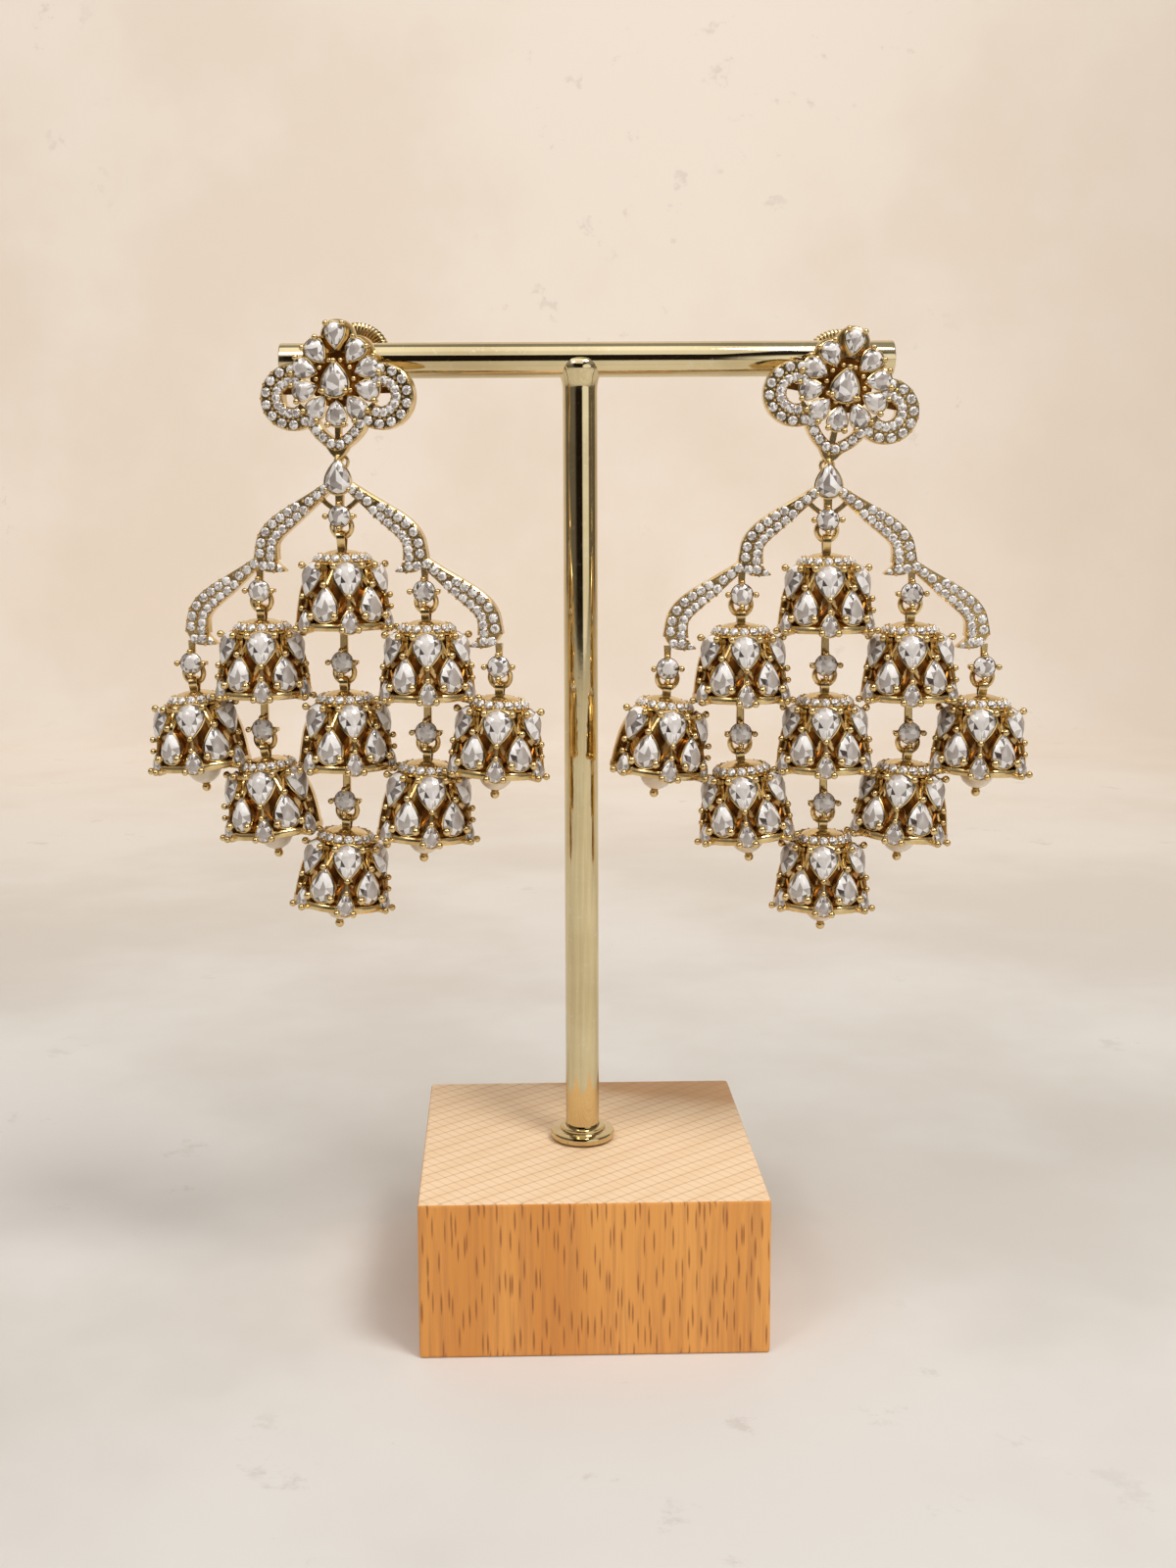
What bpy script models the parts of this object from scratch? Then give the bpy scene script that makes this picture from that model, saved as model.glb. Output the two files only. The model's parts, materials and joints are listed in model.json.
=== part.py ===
"""A pair of chandelier earrings hanging on a T-bar display stand.

Blender 4.5 script, metres, +Z up. The fronts of the earrings face -Y. The origin is at the centre of the
stand's underside. Sizes are in millimetres and become metres through MM.
"""

import math

import bmesh
import bpy
from mathutils import Matrix, Vector

MM = 0.001

# Gap between pieces that rest on, sit in or are threaded on each other
GAP = 0.3
# Depth by which soldered shapes sink into each other
SOLDER = 0.25
# Small step between the faces of soldered shapes that lie side by side
STEP = 0.04
# Faces that meet at less than this many degrees after a join are one face
FLAT_ANGLE = 0.3
# Points closer than this are one point
WELD = 0.005
SHARP_ANGLE = 35.0

# Stand
BASE_WIDTH = 50.0
BASE_DEPTH = 50.0
BASE_HEIGHT = 22.8
BASE_EDGE = 0.5
SOCKET_DEPTH = 8.0
POST_RADIUS = 2.55
POST_X = -0.6
BAR_RADIUS = 2.6
BAR_LENGTH = 90.0
BAR_HEIGHT = 141.4
BAR_X = 0.5
FOOT_RADIUS = 4.9
FOOT_THICKNESS = 1.2
COLLAR_RADIUS = 3.5
COLLAR_HEIGHT = 0.7
WELD_RADIUS = 3.3
WELD_LENGTH = 2.4
EAR_HOLE_RADIUS = 1.5
ROD_SIDES = 12

# Where each earring hangs: its place along the bar, its turn about +Z, the stud's roll, its post's height
EARRINGS = {
    "left": {"x": -35.6, "yaw": -11.0, "stud_roll": 0.0, "post_lift": 0.6},
    "right": {"x": 35.1, "yaw": -1.5, "stud_roll": 11.5, "post_lift": -0.7},
}
# From the bar's axis forward to the middle plane of the earrings
HANG_FORWARD = 6.0

# Stud
STUD_DEPTH_FRONT = 1.0
STUD_DEPTH_BACK = 1.2
STUD_TIP_DROP = 10.2
# From the hinge up to the centre of the stud's middle stone
STUD_RADIUS = 10.75
HUB_RADIUS = 3.7
PETAL_COUNT = 10
PETAL_RADIUS = 5.1
TOP_PETAL_RADIUS = 6.3
PETAL_WIDTH = 2.9
PETAL_LENGTH = 3.7
CENTRE_WIDTH = 3.6
CENTRE_LENGTH = 5.0
CENTRE_RISE = 1.5
GALLERY_RADIUS = 2.3
GALLERY_BACK = 2.0
GALLERY_SIDES = 8
LOBE_X = 6.6
LOBE_Z = -2.5
LOBE_OUTER = 4.5
LOBE_INNER = 1.7
LOBE_START = 62.0
LOBE_END = 318.0
LOBE_STEPS = 8
CROSS_BAR_Z = -1.6
CROSS_BAR_HEIGHT = 0.9
POINT_BAND = 1.7
POINT_HALF_WIDTH = 4.6
POINT_TOP = -5.6
# Shares of the point's half width and depth along the V below the flower
POINT_OUTSIDE = [(0.30, 0.98), (0.72, 0.82)]
POINT_INSIDE = [(0.56, 0.55), (0.38, 0.72)]
EAR_POST_RADIUS = 0.45
EAR_POST_RISE = 3.6
EAR_POST_END = 1.6
POST_SIDES = 6
BACK_RADIUS = 5.3
BACK_THICKNESS = 1.2
BACK_SIDES = 12

# Hinge between stud and drop: two small rings, one through the other
HINGE_RISE = 8.75
HINGE_BACK = 1.25
HINGE_WIRE = 0.25
HINGE_RING = 0.8
BAIL_RING = 0.95
BAIL_STUB_DROP = 2.15
LUG_WIDTH = 0.8
LUG_HEIGHT = 1.1

# Drop frame, measured from the centre of its top round stone
COLUMN_NEAR = 12.4
COLUMN_FAR = 23.2
STATION_DROP_NEAR = 10.8
STATION_DROP_FAR = 21.6
FRAME_HALF_DEPTH = 0.9
ARM_WIDTH = 3.7
ARM_START = (-1.5, 4.3)
ARM_SPAN = 9.7
ARM_DROP = 10.5
ARM_REPEAT = (-10.85, -10.75)
# From the end of an arm's middle line to the points of its hooked foot
ARM_HOOK = [(-0.9, -1.45), (1.05, -1.7), (3.0, -1.8)]
# Shares of ARM_SPAN, ARM_DROP and ARM_WIDTH along an arm, from its top to its foot
ARM_ROWS = [
    {"span": 0.00, "drop": 0.00, "width": 0.38},
    {"span": 0.20, "drop": 0.14, "width": 0.50},
    {"span": 0.48, "drop": 0.33, "width": 0.70},
    {"span": 0.69, "drop": 0.47, "width": 0.82},
    {"span": 0.86, "drop": 0.60, "width": 0.86},
    {"span": 0.96, "drop": 0.73, "width": 0.88},
    {"span": 0.99, "drop": 0.87, "width": 0.92},
    {"span": 1.00, "drop": 1.00, "width": 1.00},
]
TOP_PEAR_WIDTH = 3.7
TOP_PEAR_LENGTH = 4.8
TOP_PEAR_Z = 5.7
STRUT_RADIUS = 0.38
STRUT_TOP_X = 3.3
STRUT_TOP_Z = 2.9
STRUT_FOOT = 0.5
STRUT_BACK = 0.3
SPINE_WIDTH = 1.3
SPINE_FRONT = 0.4

# Round-stone station
STONE_RADIUS = 1.42
STONE_RISE = 0.5
STONE_TABLE_SHARE = 0.58
STATION_BACK = 0.4
STATION_CUP_DEPTH = 0.9
STEM_WIDTH = 1.0
STEM_TOP = 3.6
CUP_SHARE = 0.8
RING_RADIUS = 1.45
RING_WIRE = 0.35
RING_DROP = 1.55
LINK_SIDES = 10
WIRE_SIDES = 5

# Hanger: the strap loop, the stem that a bell is threaded on, and what hangs below it
STRAP_RADIUS = 0.8
STRAP_HALF_THICKNESS = 0.2
STRAP_HALF_WIDTH = 0.5
HANG = 1.4
HANG_TOP = 2.1
STEM_RADIUS = 0.45
SHOULDER_RADIUS = 0.95
SHOULDER_HEIGHT = 0.5
BELL_TO_STATION = 5.1
PEARL_RADIUS = 2.5
PEARL_RISE = 0.5
PEARL_BANDS = 4
DRILL_RADIUS = 0.8
PEARL_SIDES = 10
BALL_RADIUS = 0.68
BALL_BANDS = 2
STEM_SIDES = 5

# Bell, measured down from the top of its dome
BELL_HEIGHT = 11.0
BELL_SIDES = 10
BELL_RIM_RADIUS = 6.8
BELL_WALL = 0.8
CROWN_RADIUS = 3.95
CROWN_DOWN = 1.3
SHOULDER_BELL_RADIUS = 5.75
SHOULDER_BELL_DOWN = 4.5
BELL_PEAR_WIDTH = 3.6
BELL_PEAR_LENGTH = 4.9
BELL_PEAR_DOWN = 4.6
BELL_PEAR_OUT = 5.3
BELL_PEAR_TILT = 22.0
BELL_PEAR_SINK = 0.45
BELL_PEAR_RISE = 0.65
WINDOW_WIDTH = 1.3
WINDOW_HEIGHT = 2.4
WINDOW_DOWN = 4.3
WINDOW_TURN = 30.0
WINDOW_START = 1.5
PEAR_SIDES = 8
PEAR_TABLE = 0.66
# The largest value of sin(t) sin(t / 2), which draws a pear's outline
PEAR_FULLEST = 4 / math.sqrt(27)

# Each bell: its column (-2 to 2), the row it hangs in and, for each side, its own turn about +Z and how far
# it leans to the right on its loop, in degrees. Only the lowest bell of a column leans
BELLS = [
    {"column": 0, "row": 0, "left": (12.0, 0.0), "right": (-5.0, 0.0)},
    {"column": -1, "row": 1, "left": (5.0, 0.0), "right": (0.0, 0.0)},
    {"column": 1, "row": 1, "left": (3.0, 0.0), "right": (-9.0, 0.0)},
    {"column": -2, "row": 2, "left": (-2.0, 5.2), "right": (9.0, -7.0)},
    {"column": 0, "row": 2, "left": (15.0, 0.0), "right": (-7.5, 0.0)},
    {"column": 2, "row": 2, "left": (-1.0, -3.5), "right": (-13.0, -2.1)},
    {"column": -1, "row": 3, "left": (-6.0, 6.0), "right": (-7.0, 5.3)},
    {"column": 1, "row": 3, "left": (9.0, -3.2), "right": (-19.0, -4.8)},
    {"column": 0, "row": 4, "left": (9.0, -5.7), "right": (-7.5, -0.6)},
]

MATERIALS = {
    "antique_gold": ((0.72, 0.50, 0.22, 1.0), 0.28, 1.0),
    "stand_brass": ((0.86, 0.73, 0.45, 1.0), 0.18, 1.0),
    "beech": ((0.80, 0.53, 0.30, 1.0), 0.55, 0.0),
    "pearl": ((0.93, 0.87, 0.78, 1.0), 0.22, 0.0),
}
LOWER_FINISH = {"station": "antique_gold", "pearl": "pearl"}


def mm(*values):
    """A vector in metres from millimetre values."""
    return Vector([v * MM for v in values])


def clear_scene():
    """Removes what the opened file holds."""
    for obj in list(bpy.data.objects):
        bpy.data.objects.remove(obj, do_unlink=True)


def make_materials():
    """One Principled material for each finish."""
    made = {}
    for name, (colour, roughness, metallic) in MATERIALS.items():
        material = bpy.data.materials.new(name)
        material.use_nodes = True
        shader = material.node_tree.nodes["Principled BSDF"]
        shader.inputs["Base Color"].default_value = colour
        shader.inputs["Roughness"].default_value = roughness
        shader.inputs["Metallic"].default_value = metallic
        made[name] = material
    return made


def new_object(mesh, name="shape"):
    """Links a mesh to the scene as an object."""
    obj = bpy.data.objects.new(name, mesh)
    bpy.context.scene.collection.objects.link(obj)
    return obj


def from_bmesh(bm, name="shape"):
    """An object from a bmesh, with its faces turned outwards."""
    bmesh.ops.recalc_face_normals(bm, faces=bm.faces)
    mesh = bpy.data.meshes.new(name)
    bm.to_mesh(mesh)
    bm.free()
    return new_object(mesh, name)


def baked(obj, weld=0.0):
    """Replaces an object by a plain mesh of its evaluated shape."""
    bpy.context.view_layer.update()
    graph = bpy.context.evaluated_depsgraph_get()
    mesh = bpy.data.meshes.new_from_object(obj.evaluated_get(graph))
    mesh.transform(obj.matrix_world)
    bpy.data.objects.remove(obj, do_unlink=True)
    if weld:
        bm = bmesh.new()
        bm.from_mesh(mesh)
        bmesh.ops.remove_doubles(bm, verts=bm.verts, dist=weld)
        bmesh.ops.recalc_face_normals(bm, faces=bm.faces)
        bm.to_mesh(mesh)
        bm.free()
    return new_object(mesh)


def move(obj, matrix):
    """Applies a matrix to an object's mesh."""
    obj.data.transform(matrix)
    return obj


def cylinder(radius, length, sides, end_radius=None, centre=(0, 0, 0), axis="Z", turn=0.0):
    """A capped cylinder or cone; along Y or X its first radius is at the low end."""
    bm = bmesh.new()
    top = radius if end_radius is None else end_radius
    bmesh.ops.create_cone(bm, cap_ends=True, cap_tris=False, segments=sides, radius1=radius * MM,
                          radius2=top * MM, depth=length * MM)
    obj = from_bmesh(bm)
    quarter = math.pi / 2
    turns = {"Z": Matrix(), "Y": Matrix.Rotation(-quarter, 4, "X"), "X": Matrix.Rotation(quarter, 4, "Y")}
    spin = Matrix.Rotation(math.radians(turn), 4, "Z")
    return move(obj, Matrix.Translation(mm(*centre)) @ turns[axis] @ spin)


def box(low, high):
    """A box between two corners in millimetres."""
    bm = bmesh.new()
    bmesh.ops.create_cube(bm, size=1.0)
    size = [h - l for l, h in zip(low, high)]
    middle = [(h + l) / 2 for l, h in zip(low, high)]
    bmesh.ops.scale(bm, vec=mm(*size), verts=bm.verts)
    bmesh.ops.translate(bm, vec=mm(*middle), verts=bm.verts)
    return from_bmesh(bm)


def rod(start, end, radius, sides):
    """A straight round rod between two points."""
    a, b = Vector(start), Vector(end)
    obj = cylinder(radius, (b - a).length, sides)
    turn = (b - a).to_track_quat("Z", "Y").to_matrix().to_4x4()
    return move(obj, Matrix.Translation(mm(*((a + b) / 2))) @ turn)


def ring(radius, wire, centre, across="Y"):
    """A small closed link of round wire whose hole runs along the named axis."""
    bpy.ops.mesh.primitive_torus_add(major_segments=LINK_SIDES, minor_segments=WIRE_SIDES,
                                     major_radius=radius * MM, minor_radius=wire * MM)
    turns = {"Y": Matrix.Rotation(math.pi / 2, 4, "X"), "X": Matrix.Rotation(math.pi / 2, 4, "Y")}
    half_step = Matrix.Rotation(math.pi / LINK_SIDES, 4, "Z")
    return move(bpy.context.object, Matrix.Translation(mm(*centre)) @ turns[across] @ half_step)


def loft(rings):
    """A closed solid through rings of points of equal count."""
    bm = bmesh.new()
    rows = [[bm.verts.new(p * MM) for p in row] for row in rings]
    count = len(rows[0])
    for low, high in zip(rows, rows[1:]):
        for i in range(count):
            bm.faces.new((low[i], low[(i + 1) % count], high[(i + 1) % count], high[i]))
    bm.faces.new(rows[0])
    bm.faces.new(rows[-1])
    return from_bmesh(bm)


def pear_outline(width, length, y, share=1.0, sides=PEAR_SIDES):
    """A pear's outline in the XZ plane, its point up."""
    points = []
    for i in range(sides):
        t = 2 * math.pi * i / sides
        x = width / 2 * math.sin(t) * math.sin(t / 2) / PEAR_FULLEST
        points.append(Vector((x * share, y, length / 2 * math.cos(t) * share)))
    return points


def cut_pear(width, length, back, girdle, table):
    """A pear stone in its seat: straight sides from back to girdle, then facets up to the table."""
    return loft([pear_outline(width, length, back), pear_outline(width, length, girdle),
                 pear_outline(width, length, table, PEAR_TABLE)])


def sunk_pear(width, length, sink, rise):
    """A pear stone with its facets straight from the table, at -rise, to its foot, sunk below y = 0."""
    below = 1.0 + (1.0 - PEAR_TABLE) * sink / rise
    return loft([pear_outline(width, length, sink, below), pear_outline(width, length, -rise, PEAR_TABLE)])


def cut_round(radius, back, girdle, table):
    """A round stone in its cup."""
    def circle(r, y):
        return [Vector((r * math.sin(a), y, r * math.cos(a)))
                for a in (2 * math.pi * (i + 0.5) / PEAR_SIDES for i in range(PEAR_SIDES))]
    return loft([circle(radius * CUP_SHARE, back), circle(radius, girdle),
                 circle(radius * STONE_TABLE_SHARE, table)])


def plate(points, front, back):
    """A flat outline in the XZ plane with a thickness along Y, from a filled 2D curve."""
    curve = bpy.data.curves.new("outline", "CURVE")
    curve.dimensions = "2D"
    curve.fill_mode = "BOTH"
    curve.extrude = (back - front) / 2 * MM
    spline = curve.splines.new("POLY")
    spline.points.add(len(points) - 1)
    spline.use_cyclic_u = True
    for point, (x, z) in zip(spline.points, points):
        point.co = (x * MM, z * MM, 0.0, 1.0)
    obj = bpy.data.objects.new("outline", curve)
    bpy.context.scene.collection.objects.link(obj)
    obj.matrix_world = Matrix.Translation(mm(0, (front + back) / 2, 0)) @ Matrix.Rotation(math.pi / 2, 4, "X")
    return baked(obj, weld=WELD * MM)


def turned(profile, steps, start_angle=0.0):
    """A solid of revolution about Z from (radius, height) points, outer side top to bottom."""
    bm = bmesh.new()
    verts = [bm.verts.new(mm(r, 0, z)) for r, z in profile]
    for a, b in zip(verts, verts[1:] + verts[:1]):
        bm.edges.new((a, b))
    mesh = bpy.data.meshes.new("profile")
    bm.to_mesh(mesh)
    bm.free()
    obj = new_object(mesh)
    screw = obj.modifiers.new("Screw", "SCREW")
    screw.steps = steps
    screw.render_steps = steps
    screw.use_merge_vertices = True
    screw.merge_threshold = 0.00001
    return move(baked(obj, weld=WELD * MM), Matrix.Rotation(math.radians(start_angle), 4, "Z"))


def mirrored(obj):
    """A copy of a shape mirrored in X."""
    mesh = obj.data.copy()
    mesh.transform(Matrix.Scale(-1, 4, (1, 0, 0)))
    mesh.flip_normals()
    return new_object(mesh)


def joined(shapes, cutters=()):
    """Boolean union of shapes into one body, less the cutters."""
    body = shapes[0]
    tools = [(s, "UNION") for s in shapes[1:]] + [(c, "DIFFERENCE") for c in cutters]
    for tool, operation in tools:
        modifier = body.modifiers.new("Join", "BOOLEAN")
        modifier.operation = operation
        modifier.object = tool
    result = baked(body)
    for tool, _ in tools:
        bpy.data.objects.remove(tool, do_unlink=True)
    bm = bmesh.new()
    bm.from_mesh(result.data)
    bmesh.ops.dissolve_limit(bm, angle_limit=math.radians(FLAT_ANGLE), verts=bm.verts, edges=bm.edges)
    bm.to_mesh(result.data)
    bm.free()
    return result


def tidy(obj):
    """Shades the round pieces smooth with sharp edges kept."""
    obj.data.shade_smooth()
    obj.data.set_sharp_from_angle(angle=math.radians(SHARP_ANGLE))
    return obj


def stand_base():
    """The square wooden block with a blind socket for the post."""
    block = box((-BASE_WIDTH / 2, -BASE_DEPTH / 2, 0), (BASE_WIDTH / 2, BASE_DEPTH / 2, BASE_HEIGHT))
    bevel = block.modifiers.new("Bevel", "BEVEL")
    bevel.width = BASE_EDGE * MM
    block = baked(block)
    socket = cylinder(POST_RADIUS + GAP, SOCKET_DEPTH * 2, ROD_SIDES, centre=(POST_X, 0, BASE_HEIGHT))
    return joined([block], [socket])


def stand_foot():
    """The turned disc and collar round the foot of the post."""
    hole = POST_RADIUS + GAP
    low = BASE_HEIGHT + GAP
    disc_top = low + FOOT_THICKNESS
    top = disc_top + COLLAR_HEIGHT
    edge = FOOT_THICKNESS / 4
    profile = [(hole, top), (COLLAR_RADIUS, top), (COLLAR_RADIUS, disc_top), (FOOT_RADIUS - edge, disc_top),
               (FOOT_RADIUS, disc_top - edge), (FOOT_RADIUS, low), (hole, low)]
    return move(turned(profile, ROD_SIDES), Matrix.Translation(mm(POST_X, 0, 0)))


def ear_hole(place):
    """The x where an ear post crosses the bar's axis."""
    lean = math.tan(math.radians(place["yaw"]))
    side = (EAR_POST_RISE + STUD_RADIUS) * math.sin(math.radians(place["stud_roll"]))
    return place["x"] + side * math.cos(math.radians(place["yaw"])) - HANG_FORWARD * lean


def stand_rod():
    """The post and the cross bar welded into a T, with a cross hole near each end."""
    foot = BASE_HEIGHT - SOCKET_DEPTH + GAP
    post = cylinder(POST_RADIUS, BAR_HEIGHT - foot, ROD_SIDES, centre=(POST_X, 0, (BAR_HEIGHT + foot) / 2))
    bar = cylinder(BAR_RADIUS, BAR_LENGTH, ROD_SIDES, centre=(BAR_X, 0, BAR_HEIGHT), axis="X")
    weld_top = BAR_HEIGHT - BAR_RADIUS / 2
    weld = cylinder(POST_RADIUS + STEP, WELD_LENGTH, ROD_SIDES, WELD_RADIUS,
                    centre=(POST_X, 0, weld_top - WELD_LENGTH / 2))
    holes = [cylinder(EAR_HOLE_RADIUS, BAR_RADIUS * 4, LINK_SIDES, axis="Y",
                      centre=(ear_hole(place), 0, BAR_HEIGHT)) for place in EARRINGS.values()]
    return joined([bar, post, weld], holes)


def stud_outline_arc(radius, start, end, steps):
    """Points of an arc about a side lobe's centre, in degrees."""
    points = []
    for i in range(steps + 1):
        angle = math.radians(start + (end - start) * i / steps)
        points.append((-LOBE_X + radius * math.cos(angle), LOBE_Z + radius * math.sin(angle)))
    return points


def stud():
    """The flower head with its ear post and small ring, centred on the middle stone."""
    front, back = -STUD_DEPTH_FRONT, STUD_DEPTH_BACK
    hub = cylinder(HUB_RADIUS, back - front, LINK_SIDES, centre=(0, (front + back) / 2, 0), axis="Y")
    shapes = [hub]
    for i in range(PETAL_COUNT):
        angle = 360.0 / PETAL_COUNT * i
        radius = TOP_PETAL_RADIUS if i == 0 else PETAL_RADIUS
        petal = sunk_pear(PETAL_WIDTH, PETAL_LENGTH, back / 2, STONE_RISE - front)
        turn = Matrix.Rotation(math.radians(angle), 4, "Y")
        out = Matrix.Translation(mm(0, -STEP * (1 + i % 2), radius))
        shapes.append(move(petal, turn @ out @ Matrix.Rotation(math.pi, 4, "Y")))
    for k in (-1, 0, 1):
        radius = PETAL_RADIUS if k else TOP_PETAL_RADIUS - SOLDER
        disc = cylinder(GALLERY_RADIUS, GALLERY_BACK, GALLERY_SIDES, axis="Y", turn=180.0 / GALLERY_SIDES,
                        centre=(0, GALLERY_BACK / 2 + STEP * k, radius))
        shapes.append(move(disc, Matrix.Rotation(2 * math.pi / PETAL_COUNT * k, 4, "Y")))
    top = front - CENTRE_RISE
    shapes.append(cut_pear(CENTRE_WIDTH, CENTRE_LENGTH, 0, top + STONE_RISE, top))
    arc = stud_outline_arc(LOBE_OUTER, LOBE_START, LOBE_END, LOBE_STEPS)
    arc += stud_outline_arc(LOBE_INNER, LOBE_END, LOBE_START, LOBE_STEPS - 2)
    lobe = plate(arc, front + STEP, back - STEP)
    shapes += [lobe, mirrored(lobe)]
    half = CROSS_BAR_HEIGHT / 2
    reach = LOBE_X + LOBE_INNER + SOLDER
    shapes.append(box((-reach, front / 2, CROSS_BAR_Z - half), (reach, back / 2, CROSS_BAR_Z + half)))
    tip = -STUD_TIP_DROP
    right = [(0, tip)] + [(x * POINT_HALF_WIDTH, z * tip) for x, z in POINT_OUTSIDE]
    right += [(POINT_HALF_WIDTH, POINT_TOP)] + [(x * POINT_HALF_WIDTH, z * tip) for x, z in POINT_INSIDE]
    right += [(0, tip + POINT_BAND)]
    left = [(-x, z) for x, z in reversed(right[1:-1])]
    shapes.append(plate(right + left, front + 2 * STEP, back - 2 * STEP))
    shapes.append(box((-half, front / 2, tip + POINT_BAND / 2), (half, back / 2, SOLDER - HUB_RADIUS)))
    lug = LUG_WIDTH / 2
    shapes.append(box((-lug, HINGE_BACK - LUG_WIDTH, tip + SOLDER),
                      (lug, HINGE_BACK + lug, tip + LUG_HEIGHT)))
    shapes.append(ring(HINGE_RING, HINGE_WIRE, (0, HINGE_BACK, -STUD_RADIUS), across="X"))
    post_length = HANG_FORWARD + BAR_RADIUS + back_gap() + BACK_THICKNESS + EAR_POST_END - back / 2
    shapes.append(cylinder(EAR_POST_RADIUS, post_length, POST_SIDES,
                           centre=(0, back / 2 + post_length / 2, EAR_POST_RISE), axis="Y"))
    return joined(shapes)


def back_gap():
    """From the back of the bar to the milled back, with room for the earring's turn."""
    return GAP + BACK_RADIUS * math.sin(math.radians(max(abs(p["yaw"]) for p in EARRINGS.values())))


def stud_back():
    """The round back on the ear post, about the post's axis."""
    front = HANG_FORWARD + BAR_RADIUS + back_gap()
    low, high = front, front + BACK_THICKNESS
    edge = BACK_THICKNESS / 4
    hole = EAR_POST_RADIUS + GAP
    profile = [(hole, high), (BACK_RADIUS - edge, high), (BACK_RADIUS, high - edge), (BACK_RADIUS, low),
               (hole, low)]
    disc = turned(profile, BACK_SIDES)
    return move(disc, Matrix.Translation(mm(0, 0, EAR_POST_RISE)) @ Matrix.Rotation(-math.pi / 2, 4, "X"))


def arm():
    """One left arm's outline: two edges about a curved middle line, then its hooked foot."""
    middle = [Vector((ARM_START[0] - row["span"] * ARM_SPAN, ARM_START[1] - row["drop"] * ARM_DROP))
              for row in ARM_ROWS]
    outer, inner = [], []
    for i, (point, row) in enumerate(zip(middle, ARM_ROWS)):
        before, after = middle[max(i - 1, 0)], middle[min(i + 1, len(middle) - 1)]
        along = (after - before).normalized()
        across = Vector((along.y, -along.x)) * row["width"] * ARM_WIDTH / 2
        outer.append(tuple(point + across))
        inner.append(tuple(point - across))
    hook = [tuple(middle[-1] + Vector(point)) for point in ARM_HOOK]
    return outer + hook + inner[::-1]


def arm_plate(shift, depth):
    """An arm's solid, moved by shift."""
    return plate([(x + shift[0], z + shift[1]) for x, z in arm()], -depth, depth)


def station(x, z):
    """A round stone in its cup with the face-on ring soldered to the cup's back."""
    back = STATION_BACK
    cup_front = back - STATION_CUP_DEPTH
    stone = move(cut_round(STONE_RADIUS, back + SOLDER, cup_front, cup_front - STONE_RISE),
                 Matrix.Translation(mm(x, 0, z)))
    return [stone, ring(RING_RADIUS, RING_WIRE, (x, ring_plane(), z - RING_DROP))]


def ring_plane():
    """The depth of the ring's middle, which is where the bells hang."""
    return STATION_BACK + RING_WIRE


def frame():
    """The drop's frame, one soldered piece."""
    depth = FRAME_HALF_DEPTH
    inner_arm = arm_plate((0, 0), depth)
    outer_arm = arm_plate(ARM_REPEAT, depth - STEP)
    shapes = [inner_arm, mirrored(inner_arm), outer_arm, mirrored(outer_arm)]
    shapes.append(move(cut_pear(TOP_PEAR_WIDTH, TOP_PEAR_LENGTH, 0, -depth - STEP, -depth - STONE_RISE),
                       Matrix.Translation(mm(0, 0, TOP_PEAR_Z))))
    half = SPINE_WIDTH / 2
    shapes.append(box((-half, -SPINE_FRONT, 0), (half, STATION_BACK - STEP, TOP_PEAR_Z - SPINE_WIDTH)))
    for side in (-1, 1):
        top, foot = (side * STRUT_TOP_X, STRUT_BACK, STRUT_TOP_Z), (side * STRUT_FOOT, STRUT_BACK, STRUT_FOOT)
        shapes.append(rod(top, foot, STRUT_RADIUS, STEM_SIDES))
    places = [(0, 0), (-COLUMN_NEAR, -STATION_DROP_NEAR), (COLUMN_NEAR, -STATION_DROP_NEAR),
              (-COLUMN_FAR, -STATION_DROP_FAR), (COLUMN_FAR, -STATION_DROP_FAR)]
    stem = STEM_WIDTH / 2
    stem_back = STATION_BACK + SOLDER / 2
    for x, z in places:
        shapes += station(x, z)
        if x:
            shapes.append(box((x - stem, 0, z + STONE_RADIUS / 2), (x + stem, stem_back, z + STEM_TOP)))
    shapes.append(ring(BAIL_RING, HINGE_WIRE, (0, HINGE_BACK, HINGE_RISE - BAIL_RING)))
    stub = LUG_WIDTH / 2
    stub_z = HINGE_RISE - BAIL_STUB_DROP
    shapes.append(box((-stub, -stub / 2, stub_z - stub), (stub, HINGE_BACK + HINGE_WIRE / 2, stub_z + stub)))
    return joined(shapes)


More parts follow.
